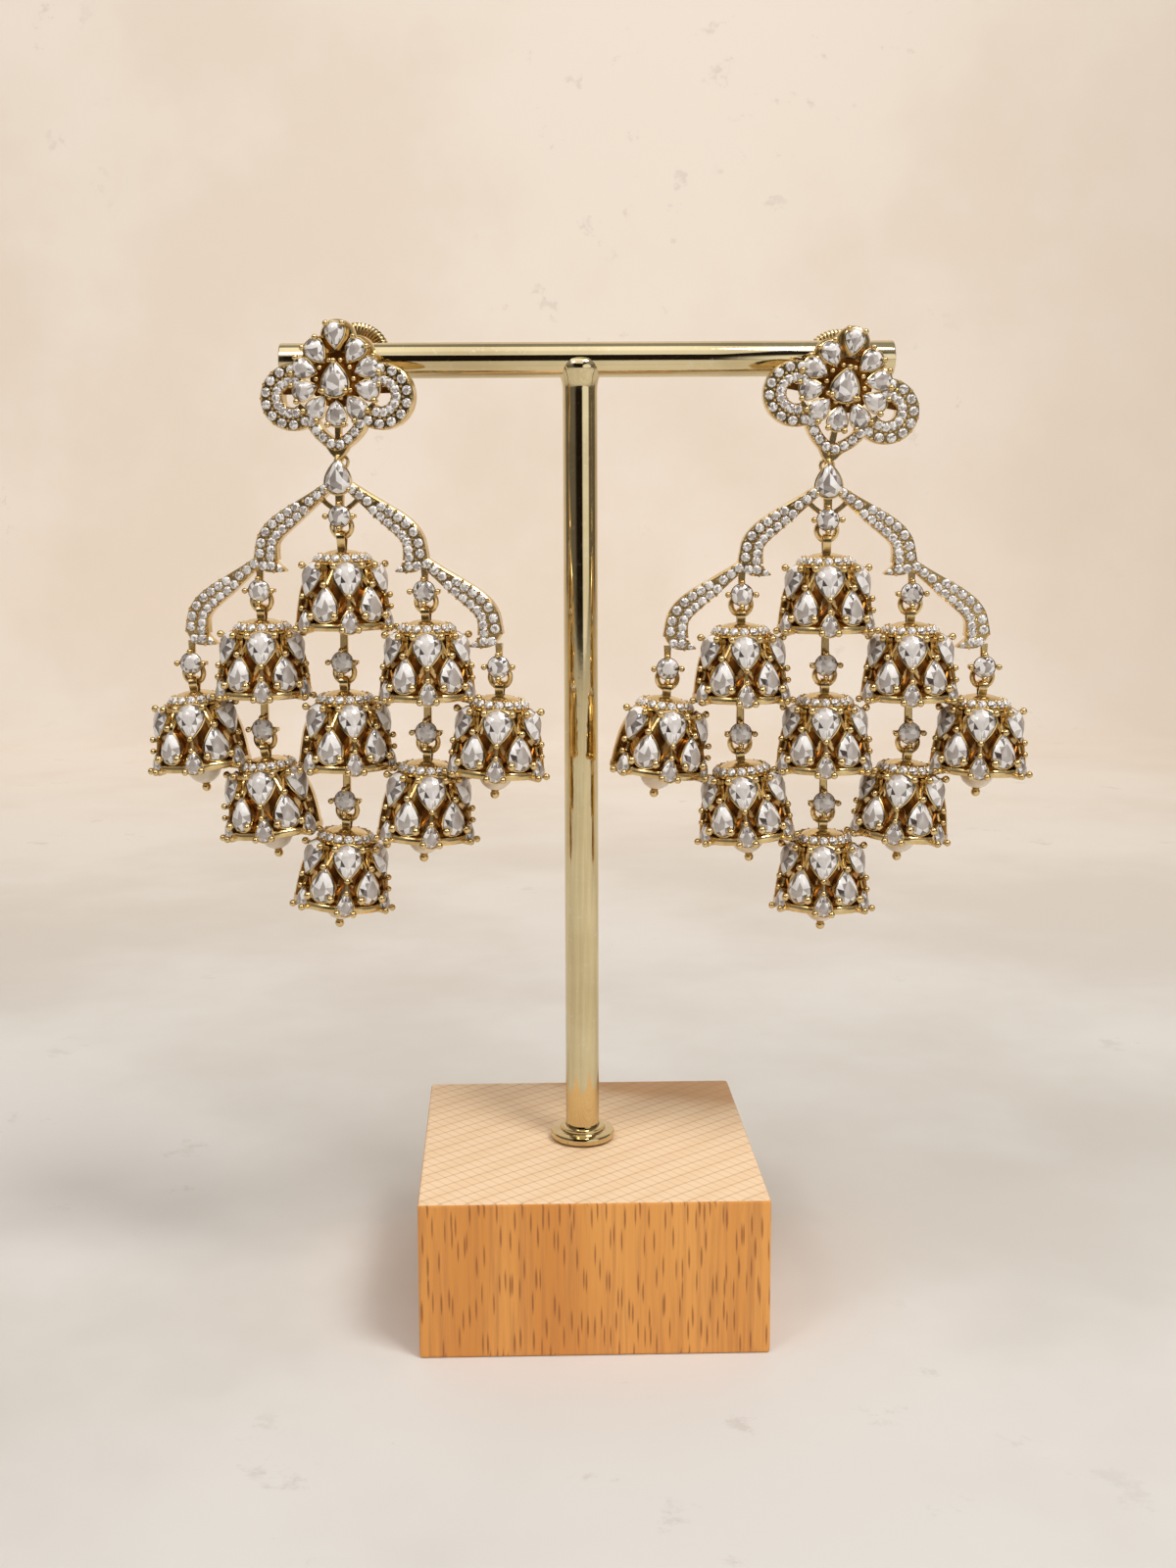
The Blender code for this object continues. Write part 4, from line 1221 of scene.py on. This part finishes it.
@dataclass
class DropFrame:
    """The drop's frame: two arms a side, five stations, the top pear and its ring."""

    near: float = 12.4
    far: float = 23.2
    drop_near: float = 10.8
    drop_far: float = 21.6
    arm_start: tuple[float, float] = (-1.5, 4.3)
    arm_span: float = 9.7
    arm_drop: float = 10.5
    arm_width: float = 3.7
    arm_repeat: tuple[float, float] = (-10.85, -10.75)
    half_depth: float = 0.9
    rows: tuple[tuple[float, float, float], ...] = (
        (0.00, 0.00, 0.38), (0.20, 0.14, 0.50), (0.48, 0.33, 0.70), (0.69, 0.47, 0.82),
        (0.86, 0.60, 0.86), (0.96, 0.73, 0.88), (0.99, 0.87, 0.92), (1.00, 1.00, 1.00))
    hook: tuple[tuple[float, float, float], ...] = (
        (-0.1, 0.9, 3.6), (0.35, -0.55, 2.7), (1.45, -1.2, 1.5), (2.95, -1.7, 0.25))
    tip_stone: float = 0.42
    tip_place: tuple[float, float] = (2.2, -1.4)
    top_pear: float = 5.7
    hinge_rise: float = 8.75
    hinge_back: float = 1.25

    def arms(self, sketch: Sketch) -> None:
        """Adds both arms on both sides, with their stones.

        Args:
            sketch: Where they are added.
        """
        x0, z0 = self.arm_start
        path = smooth_path([(x0 - s * self.arm_span, z0 - d * self.arm_drop, w * self.arm_width)
                            for s, d, w in self.rows], 30)
        foot_x, foot_z = path[-1][:2]
        hook = smooth_path([(foot_x + x, foot_z + z, w) for x, z, w in self.hook], 12)
        pave = Pave()
        for repeat, depth in ((0.0, self.half_depth), (1.0, self.half_depth - 0.04)):
            for mirror in (1.0, -1.0):
                place = Matrix.Diagonal((mirror, 1, 1, 1)) @ shift(self.arm_repeat[0] * repeat, 0,
                                                                  self.arm_repeat[1] * repeat)
                arm = Band(path, -depth, depth, 0.22)
                sketch.add(arm.form(), Finish.GOLD, place)
                pave.set(sketch, place, arm)
                tip = Band(hook, -depth + 0.03, depth - 0.03, 0.2)
                sketch.add(tip.form(), Finish.GOLD, place)
                pave.set(sketch, place, tip, 0.75, 1.1)
                tip_x, tip_z = self.tip_place
                last = shift(foot_x + tip_x, -depth - 0.06, foot_z + tip_z)
                sketch.add(round_stone(self.tip_stone), Finish.STONE, place @ last)

    def head(self, sketch: Sketch) -> None:
        """Adds the top pear, its spine and struts, and the ring above.

        Args:
            sketch: Where they are added.
        """
        place = shift(0, -self.half_depth - 0.15, self.top_pear)
        width, length = 3.7, 4.9
        sketch.add(pear_stone(width, length), Finish.STONE, place)
        sketch.add(pear_rim(width, length, 0.2), Finish.GOLD, place)
        sketch.claw(place, 0, length / 2 + 0.1, -0.2, 0.3)
        for side in (-1, 1):
            sketch.claw(place, side * width * 0.45, -length * 0.38, -0.35, 0.32)
            strut = np.array([(side * 3.4, 3.1, 0.8), (side * 1.9, 1.7, 0.7), (side * 0.4, 0.6, 0.7)])
            sketch.add(Band(strut, -0.1, 0.6, 0.12).form(), Finish.GOLD)
        spine = np.array([(0.0, 4.4, 1.3), (0.0, 2.2, 1.2), (0.0, 0.6, 1.2)])
        sketch.add(Band(spine, -0.4, 0.36, 0.15).form(), Finish.GOLD)
        ring = self.hinge_rise - 0.95
        sketch.add(link(0.95, 0.25), Finish.GOLD, shift(0, self.hinge_back, ring) @ spin(90, "X"))
        stub = np.array([(0.0, ring - 1.75, 0.9), (0.0, ring - 0.95, 0.8)])
        sketch.add(Band(stub, -0.3, self.hinge_back + 0.15, 0.1).form(), Finish.GOLD)

    def mesh(self, name: str) -> bpy.types.Mesh:
        """Builds the frame about its top round stone.

        Args:
            name: The mesh's name.

        Returns:
            The mesh, in metres.
        """
        sketch = Sketch(seed=5)
        self.arms(sketch)
        self.head(sketch)
        station = Station()
        for x, z in ((0, 0), (-self.near, -self.drop_near), (self.near, -self.drop_near),
                     (-self.far, -self.drop_far), (self.far, -self.drop_far)):
            station.add_to(sketch, shift(x, 0, z))
            if x:
                stem = np.array([(x, z + 3.4, 1.1), (x, z + 2.2, 0.95), (x, z + 1.0, 0.95)])
                sketch.add(Band(stem, -0.1, 0.5, 0.12).form(), Finish.GOLD)
        return sketch.mesh(name)


@dataclass
class Stud:
    """The flower head: ten pear petals about a raised pear, two stone-set loops and a point."""

    petals: int = 10
    petal_out: float = 4.8
    top_petal_out: float = 6.2
    petal_width: float = 2.85
    petal_length: float = 3.65
    front: float = -1.0
    back: float = 1.2
    lobe: tuple[float, float] = (-6.6, -2.5)
    lobe_outer: float = 4.75
    lobe_inner: float = 1.45
    lobe_from: float = 60.0
    lobe_to: float = 322.0
    point: tuple[tuple[float, float], ...] = ((-3.95, -5.35), (-3.15, -7.0), (-1.75, -8.45), (0.0, -9.35))
    point_width: float = 1.75
    hinge_drop: float = 10.75
    hinge_back: float = 1.25
    post_rise: float = 3.6
    post_end: float = 13.0

    def flower(self, sketch: Sketch) -> None:
        """Adds the petals, the gallery behind the top three and the raised middle stone.

        Args:
            sketch: Where they are added.
        """
        # The hub and the plate behind the petals are painted shade: dark discs that fill the gaps between the
        # petals where shade falls.
        hub = lathe([(0.0, 0.0), (2.1, 0.0), (2.3, -0.2), (2.3, -1.6), (0.0, -1.6)], 32)
        sketch.add(hub, Finish.PAINTED_SHADE, shift(0, self.front + 0.4, 0) @ spin(90, "X"))
        plate = lathe([(0.0, 0.0), (3.8, 0.0), (4.0, -0.2), (4.0, -0.9), (0.0, -0.9)], 40)
        sketch.add(plate, Finish.PAINTED_SHADE, shift(0, self.front + 0.6, 0) @ spin(90, "X"))
        for i in range(self.petals):
            out = self.petal_out if i else self.top_petal_out
            place = spin(360.0 / self.petals * i, "Y") @ shift(0, self.front - 0.15, out) @ spin(180, "Y")
            width, length = self.petal_width, self.petal_length
            sketch.add(pear_stone(width, length), Finish.STONE, place)
            sketch.add(pear_rim(width, length, 0.15), Finish.GOLD, place)
            for side in (-1, 1):
                sketch.claw(place, side * width * 0.42, -length * 0.45, -0.35, 0.46, self.back)
        for i, grow in ((-1, 1.0), (0, 1.05), (1, 1.0)):
            out = self.petal_out if i else self.top_petal_out - 0.1
            wide = 2.35 * grow
            disc = lathe([(0.0, 0.0), (2.15 * grow, 0.0), (wide, -0.25), (wide, -2.0), (0.0, -2.0)], 32)
            place = spin(360.0 / self.petals * i, "Y") @ shift(0, self.front + 0.9, out) @ spin(90, "X")
            sketch.add(disc, Finish.GOLD, place)
        raised = self.front - 0.65
        width, length = 3.85, 4.85
        place = shift(0, raised, 0)
        sketch.add(pear_stone(width, length), Finish.STONE, place)
        sketch.add(pear_rim(width, length, 0.2), Finish.GOLD, place)
        for x, z in ((0, length / 2 + 0.1), (-width * 0.44, -length * 0.36), (width * 0.44, -length * 0.36)):
            sketch.claw(place, x, z, -0.4, 0.47, 1.4)
        for angle in range(18, 360, 36):
            sketch.add(ball(0.4), Finish.GOLD, spin(angle, "Y") @ shift(0, self.front - 0.25, 2.75))

    def loops(self, sketch: Sketch) -> None:
        """Adds the two side loops and the pointed loop below, with their stones and bars.

        Args:
            sketch: Where they are added.
        """
        cx, cz = self.lobe
        middle, width = (self.lobe_outer + self.lobe_inner) / 2, self.lobe_outer - self.lobe_inner
        turns = np.radians(np.linspace(self.lobe_from, self.lobe_to, 40))
        path = np.stack([cx + middle * np.cos(turns), cz + middle * np.sin(turns),
                         np.full(len(turns), width)], axis=1)
        lobe = Band(path, self.front, self.back, 0.25)
        left = [(x, z, self.point_width) for x, z in self.point]
        vee = smooth_path(left + [(-x, z, w) for x, z, w in left[-2::-1]], 30)
        point = Band(vee, self.front - 0.02, self.back, 0.22)
        pave = Pave()
        for mirror in (1.0, -1.0):
            place = Matrix.Diagonal((mirror, 1, 1, 1))
            sketch.add(lobe.form(), Finish.GOLD, place)
            pave.set(sketch, place, lobe, 0.9, 0.9)
            reach = cx - self.lobe_inner
            bar = np.array([(reach - 0.2, -1.6, 0.9), (-5.5, -1.6, 0.9), (-3.4, -1.6, 0.9)])
            # The bars are painted shade.
            sketch.add(Band(bar, -0.4, 0.6, 0.1).form(), Finish.PAINTED_SHADE, place)
        sketch.add(point.form(), Finish.GOLD)
        pave.set(sketch, Matrix(), point, 0.7, 0.4)
        upright = np.array([(0.0, -3.4, 0.9), (0.0, -6.5, 0.9), (0.0, -8.9, 0.9)])
        sketch.add(Band(upright, -0.4, 0.6, 0.1).form(), Finish.GOLD)
        wedge = np.array([(0.0, -9.5, 3.5), (0.0, -10.5, 2.2), (0.0, -11.15, 0.9)])
        sketch.add(Band(wedge, -0.9, 0.75, 0.15).form(), Finish.GOLD)
        sketch.add(ball(0.48, 3), Finish.GOLD, shift(0, -0.75, -11.05))
        sketch.add(link(0.8, 0.25), Finish.GOLD, shift(0, self.hinge_back, -self.hinge_drop) @ spin(90, "Y"))
        lug = np.array([(0.0, -9.1, 0.8), (0.0, -10.0, 0.8)])
        sketch.add(Band(lug, 0.5, self.hinge_back + 0.4, 0.1).form(), Finish.GOLD)

    def mesh(self, name: str) -> bpy.types.Mesh:
        """Builds the stud about its middle stone.

        Args:
            name: The mesh's name.

        Returns:
            The mesh, in metres.
        """
        sketch = Sketch(seed=3)
        self.loops(sketch)
        self.flower(sketch)
        sketch.add(pin(0.45, 0.6, self.post_end, 20), Finish.GOLD, shift(0, 0, self.post_rise))
        return sketch.mesh(name)


@dataclass
class StudBack:
    """The round back with a milled edge that sits on the ear post."""

    radius: float = 5.3
    tooth: float = 0.3
    teeth: int = 52
    thickness: float = 1.2
    hole: float = 0.75
    gap: float = 1.31
    bar_radius: float = 2.6
    hang_forward: float = 6.0
    post_rise: float = 3.6

    def mesh(self, name: str) -> bpy.types.Mesh:
        """Builds the back in its stud's own place.

        Args:
            name: The mesh's name.

        Returns:
            The mesh, in metres.
        """
        sketch = Sketch(seed=2)
        count = self.teeth * 4
        layers = [(self.hole, 0.0, False), (self.radius * 0.55, 0.0, False), (self.radius - 0.55, 0.0, False),
                  (self.radius - 0.1, 0.25, True), (self.radius, 0.55, True), (self.radius, 0.9, True),
                  (self.radius - 0.45, self.thickness, True), (self.hole + 0.7, self.thickness, False),
                  (self.hole, self.thickness, False)]
        points, faces = [], []
        for radius, y, milled in layers:
            for i in range(count):
                angle = 2 * math.pi * (i + 4 * y) / count
                notch = self.tooth * (0.5 + 0.5 * math.cos(2 * math.pi * i / 4)) if milled else 0.0
                points.append(((radius - notch) * math.sin(angle), y, (radius - notch) * math.cos(angle)))
        for j in range(len(layers)):
            m = (j + 1) % len(layers)
            for i in range(count):
                k = (i + 1) % count
                faces.append((j * count + i, j * count + k, m * count + k, m * count + i))
        front = self.hang_forward + self.bar_radius + self.gap
        sketch.add(Form(np.array(points), faces).outward(), Finish.GOLD, shift(0, front, self.post_rise))
        return sketch.mesh(name)


# The stand


@dataclass
class Stand:
    """The T of two polished rods, its turned foot and the beech block."""

    block: tuple[float, float, float] = (50.0, 50.0, 22.8)
    edge: float = 0.55
    post_radius: float = 2.55
    post_x: float = -0.6
    bar_radius: float = 2.6
    bar_length: float = 90.0
    bar_height: float = 141.4
    bar_x: float = 0.5
    socket: float = 7.7
    weld_drop: float = 1.4
    neck: tuple[tuple[float, float], ...] = (
        (0.0, 2.1), (1.5, 2.0), (2.4, 1.75), (2.9, 1.4), (3.2, 0.9), (3.3, 0.3), (3.2, -0.3),
        (2.98, -0.9), (2.78, -1.5), (2.63, -2.1), (2.57, -2.7))
    foot_radius: float = 4.9
    foot_thick: float = 1.2
    collar_radius: float = 3.5
    collar_height: float = 0.7
    gap: float = 0.3

    def base(self, name: str) -> bpy.types.Mesh:
        """Builds the block, with end grain on its top and underside.

        Args:
            name: The mesh's name.

        Returns:
            The mesh, in metres.
        """
        wide, deep, high = self.block
        bm = bmesh.new()
        bmesh.ops.create_cube(bm, size=1.0)
        bmesh.ops.scale(bm, vec=(wide, deep, high), verts=bm.verts)
        bmesh.ops.translate(bm, vec=(0, 0, high / 2), verts=bm.verts)
        bmesh.ops.bevel(bm, geom=bm.edges, offset=self.edge, segments=4, profile=0.6, affect="EDGES")
        bm.normal_update()
        bm.verts.index_update()
        points = np.array([v.co for v in bm.verts])
        sketch = Sketch(seed=1)
        for finish in (Finish.SIDE_GRAIN, Finish.END_GRAIN):
            ends = finish is Finish.END_GRAIN
            faces = [tuple(v.index for v in f.verts) for f in bm.faces if (abs(f.normal.z) > 0.75) == ends]
            sketch.add(Form(points, faces), finish)
        bm.free()
        return sketch.mesh(name)

    def rod(self, name: str) -> bpy.types.Mesh:
        """Builds the post, the bar and the weld between them.

        Args:
            name: The mesh's name.

        Returns:
            The mesh, in metres.
        """
        sketch = Sketch(seed=1)
        half = self.bar_length / 2
        soft = 0.25
        slope = soft * 0.3
        r = self.bar_radius
        bar = [(0.0, half), (r * 0.5, half), (r - soft, half), (r - slope, half - slope), (r, half - soft),
               (r, half / 3), (r, -half / 3), (r, -half + soft), (r - slope, -half + slope),
               (r - soft, -half), (r * 0.5, -half), (0.0, -half)]
        sketch.add(lathe(bar, 64), Finish.BRASS, shift(self.bar_x, 0, self.bar_height) @ spin(90, "Y"))
        low = self.block[2] - self.socket
        weld = self.bar_height - self.weld_drop
        p = self.post_radius
        post = [(wide, weld + up) for wide, up in self.neck]
        post += [(p, weld - 3.3), (p, 100.0), (p, 60.0), (p, low), (0.0, low)]
        sketch.add(lathe(post, 64), Finish.BRASS, shift(self.post_x, 0, 0))
        return sketch.mesh(name)

    def foot(self, name: str) -> bpy.types.Mesh:
        """Builds the turned disc and collar.

        Args:
            name: The mesh's name.

        Returns:
            The mesh, in metres.
        """
        sketch = Sketch(seed=1)
        low = self.block[2] + self.gap
        mid, top = low + self.foot_thick, low + self.foot_thick + self.collar_height
        hole, f, c = self.post_radius + 0.06, self.foot_radius, self.collar_radius
        profile = [(hole, top), (c - 0.25, top), (c - 0.05, top - 0.12), (c, top - 0.3), (c, mid + 0.08),
                   (c + 0.15, mid), (f - 0.4, mid), (f - 0.12, mid - 0.1), (f, mid - 0.35),
                   (f, low + 0.3), (f - 0.1, low + 0.08), (f - 0.3, low), (hole, low)]
        sketch.add(lathe(profile, 72, closed=True), Finish.BRASS, shift(self.post_x, 0, 0))
        return sketch.mesh(name)


# Placing, light and camera


@dataclass
class Pair:
    """Both earrings, each placed by its joint in the frame."""

    near: float = 12.4
    far: float = 23.2
    drop_near: float = 10.8
    drop_far: float = 21.6
    ring_bottom: float = 3.0
    ring_back: float = 0.75
    hinge_rise: float = 8.75
    hinge_back: float = 1.25
    stud_radius: float = 10.75
    rolls: dict[str, float] = field(default_factory=lambda: {"left": 0.0, "right": 11.5})
    bells: tuple[tuple[int, int, dict[str, tuple[float, float]]], ...] = (
        (0, 0, {"left": (12.0, 0.0), "right": (-5.0, 0.0)}),
        (-1, 1, {"left": (5.0, 0.0), "right": (0.0, 0.0)}),
        (1, 1, {"left": (3.0, 0.0), "right": (-9.0, 0.0)}),
        (-2, 2, {"left": (-2.0, 5.2), "right": (9.0, -7.0)}),
        (0, 2, {"left": (15.0, 0.0), "right": (-7.5, 0.0)}),
        (2, 2, {"left": (-1.0, -3.5), "right": (-13.0, -2.1)}),
        (-1, 3, {"left": (-6.0, 6.0), "right": (-7.0, 5.3)}),
        (1, 3, {"left": (9.0, -3.2), "right": (-19.0, -4.8)}),
        (0, 4, {"left": (9.0, -5.7), "right": (-7.5, -0.6)}))
    hang: float = 1.4
    hang_top: float = 2.1
    bell_height: float = 11.0
    bell_to_station: float = 5.1

    def put(self, mesh: bpy.types.Mesh, node: str, body: str, place: Matrix) -> None:
        """Places a piece for a node and reports it.

        Args:
            mesh: Its mesh.
            node: The node that it stands for.
            body: The body that it rides on.
            place: Where it goes, with its move in millimetres.
        """
        piece = bpy.data.objects.new(node + "_dressed", mesh)
        bpy.context.scene.collection.objects.link(piece)
        matrix = place.copy()
        matrix.translation *= MM
        piece.matrix_world = matrix
        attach(piece, body)
        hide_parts(node)
        LOG.info("%s: %d faces, rides on %s", piece.name, len(mesh.polygons), body)

    def build(self) -> None:
        """Builds the shared meshes once and places them on both sides."""
        stud, back = Stud().mesh("stud"), StudBack().mesh("stud_back")
        drop_frame, bell = DropFrame().mesh("frame"), Bell().mesh("bell")
        lowest_row = {column: max(row for c, row, _ in self.bells if c == column)
                      for column, *_ in self.bells}
        lower: dict[tuple[str, float], bpy.types.Mesh] = {}
        for joint in frame["joints"]:
            side = joint["child"].removesuffix("_drop")
            turn = math.degrees(math.atan2(joint["axis"][1], joint["axis"][0]))
            pivot = Matrix.Translation(Vector(joint["pos_m"]) / MM)
            hinge = pivot @ spin(turn, "Z") @ shift(0, -self.hinge_back, 0)
            stud_place = hinge @ spin(self.rolls[side], "Y") @ shift(0, 0, self.stud_radius)
            self.put(stud, side + "_stud", "stand", stud_place)
            self.put(back, side + "_stud_back", "stand", stud_place)
            drop = hinge @ shift(0, 0, -self.hinge_rise)
            self.put(drop_frame, side + "_frame", joint["child"], drop)
            lowest = {0: 0.0, -1: -self.drop_near, 1: -self.drop_near, -2: -self.drop_far, 2: -self.drop_far}
            counts = {"pearl": 0, "station": 0}
            for number, (column, row, poses) in enumerate(self.bells, 1):
                facing, lean = poses[side]
                x = math.copysign({0: 0.0, 1: self.near, 2: self.far}[abs(column)], column)
                hang = self.hang_top if row == 0 else self.hang
                z = lowest[column] - self.ring_bottom
                lowest[column] = z - hang - self.bell_height - self.bell_to_station
                loop = drop @ shift(x, self.ring_back, z) @ spin(-lean, "Y")
                kind = "pearl" if row == lowest_row[column] else "station"
                counts[kind] += 1
                if (kind, hang) not in lower:
                    maker = PearlDrop if kind == "pearl" else StationDrop
                    lower[kind, hang] = maker(hang).mesh(kind)
                slot = "pearl" if kind == "pearl" else "antique_gold"
                self.put(lower[kind, hang], f"{side}_{kind}_{counts[kind]}", joint["child"], loop)
                self.put(bell, f"{side}_bell_{number}", joint["child"],
                         loop @ shift(0, 0, -hang) @ spin(facing - turn, "Z"))


@dataclass
class Studio:
    """The pale sweep, the soft lights and the camera at the photograph's angle."""

    camera_place: tuple[float, float, float] = (-11.89, -260.96, 124.03)
    pitch: float = -7.0
    yaw: float = -1.093
    roll: float = 0.377
    focal_px: float = 1787.0
    centre_px: tuple[float, float] = (550.0, 708.4)
    image: tuple[int, int] = (1200, 1600)
    sensor: float = 36.0
    wall_y: float = 620.0
    sweep_radius: float = 60.0

    def camera(self) -> None:
        """Makes the camera."""
        data = bpy.data.cameras.new("camera")
        wide, high = self.image
        data.sensor_width = self.sensor
        data.lens = self.focal_px / high * self.sensor
        data.shift_x = (wide / 2 - self.centre_px[0]) / high
        data.shift_y = (self.centre_px[1] - high / 2) / high
        data.clip_start = 0.01
        data.clip_end = 20.0
        camera = bpy.data.objects.new("camera", data)
        turn = spin(self.yaw, "Z") @ spin(self.pitch, "X") @ spin(self.roll, "Y") @ spin(90, "X")
        camera.matrix_world = Matrix.Translation(Vector(self.camera_place) * MM) @ turn
        bpy.context.scene.collection.objects.link(camera)
        bpy.context.scene.camera = camera

    def sweep(self) -> None:
        """Makes the floor and the wall behind as one pale sheet."""
        r = self.sweep_radius
        rows = [(-900.0, 0.0), (-300.0, 0.0), (0.0, 0.0), (300.0, 0.0)]
        rows += [(self.wall_y - r + r * math.sin(t), r - r * math.cos(t))
                 for t in np.linspace(0, math.pi / 2, 13)]
        rows += [(self.wall_y, 300.0), (self.wall_y, 1200.0)]
        many = 7
        columns = np.linspace(-1500.0, 1500.0, many)
        points = np.array([(x, y, z) for y, z in rows for x in columns])
        faces = [(j * many + i, j * many + i + 1, (j + 1) * many + i + 1, (j + 1) * many + i)
                 for j in range(len(rows) - 1) for i in range(many - 1)]
        sketch = Sketch(seed=0)
        sketch.add(Form(points, faces), Finish.PLASTER)
        floor = bpy.data.objects.new("floor", sketch.mesh("floor"))
        bpy.context.scene.collection.objects.link(floor)
        floor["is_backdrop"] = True

    def lamp(self, name: str, place: Sequence[float], aim: Sequence[float], size: float, power: float,
             colour: Sequence[float]) -> None:
        """Makes a soft square light.

        Args:
            name: Its name.
            place: Where it stands, in millimetres.
            aim: The point that it faces.
            size: The side of its panel.
            power: Its power in watts.
            colour: Its colour.
        """
        data = bpy.data.lights.new(name, "AREA")
        data.shape = "SQUARE"
        data.size = size * MM
        data.energy = power
        data.color = colour
        lamp = bpy.data.objects.new(name, data)
        here = Vector(place)
        turn = (here - Vector(aim)).to_track_quat("Z", "Y").to_matrix().to_4x4()
        lamp.matrix_world = Matrix.Translation(here * MM) @ turn
        bpy.context.scene.collection.objects.link(lamp)

    def light(self) -> None:
        """Makes the lights."""
        middle = (0.0, 0.0, 90.0)
        self.lamp("key", (420.0, -420.0, 1000.0), middle, 340.0, 5.8, (1.0, 0.97, 0.93))
        self.lamp("front", (-150.0, -480.0, 980.0), middle, 1150.0, 3.9, (1.0, 0.98, 0.96))
        self.lamp("glint", (-430.0, -520.0, 760.0), middle, 130.0, 0.8, (1.0, 0.98, 0.96))

    def room(self) -> None:
        """Makes the room's light: paler above, a bright window to the right and a dim patch in front.

        The camera itself sees one plain pale colour in its place.
        """
        world = bpy.data.worlds.new("room")
        recipe = Recipe(world)
        way = recipe.add("ShaderNodeTexCoord", output="Generated")

        def toward(x: float, y: float, z: float) -> Wire:
            """How far a direction points to (x, y, z), from -1 to 1."""
            return recipe.add("ShaderNodeVectorMath", {"operation": "DOT_PRODUCT"},
                              {0: way, 1: (x, y, z)}, "Value")

        above = toward(0, 0, 1).step(0.05, 0.6)
        walls = recipe.blend(above, (0.15, 0.135, 0.12, 1.0), (0.33, 0.32, 0.31, 1.0))
        dimmed = recipe.blend(toward(0, -0.95, 0.31).step(0.70, 0.88), walls, (0.015, 0.01, 0.007, 1.0))
        window = toward(0.57, -0.82, 0).step(0.90, 0.96)
        lit = recipe.blend(window, dimmed, (1.0, 0.98, 0.95, 1.0))
        seen = recipe.add("ShaderNodeLightPath", output="Is Camera Ray")
        shown = recipe.blend(seen, lit, (0.66, 0.61, 0.55, 1.0))
        recipe.feed(world.node_tree.nodes["Background"].inputs["Color"], shown)
        bpy.context.scene.world = world
        bpy.context.scene.view_settings.view_transform = "Standard"

    def build(self) -> None:
        """Makes everything that isn't the object."""
        self.camera()
        self.sweep()
        self.light()
        self.room()


def corners() -> list[list[float]]:
    """The shown object's lowest and highest corner as plain numbers."""
    return [[float(v) for v in corner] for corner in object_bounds()]


def main() -> None:
    """Builds the finishes, the stand, the earrings and the studio."""
    logging.basicConfig(level=logging.INFO, format="%(message)s")
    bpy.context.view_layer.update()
    for finish in FINISHES:
        finish.material()
    Studio().build()
    stand = Stand()
    pair = Pair()
    pair.put(stand.base("base"), "stand_base", "stand", Matrix())
    pair.put(stand.rod("rod"), "stand_rod", "stand", Matrix())
    pair.put(stand.foot("foot"), "stand_foot", "stand", Matrix())
    pair.build()


if __name__ == "__main__":
    main()
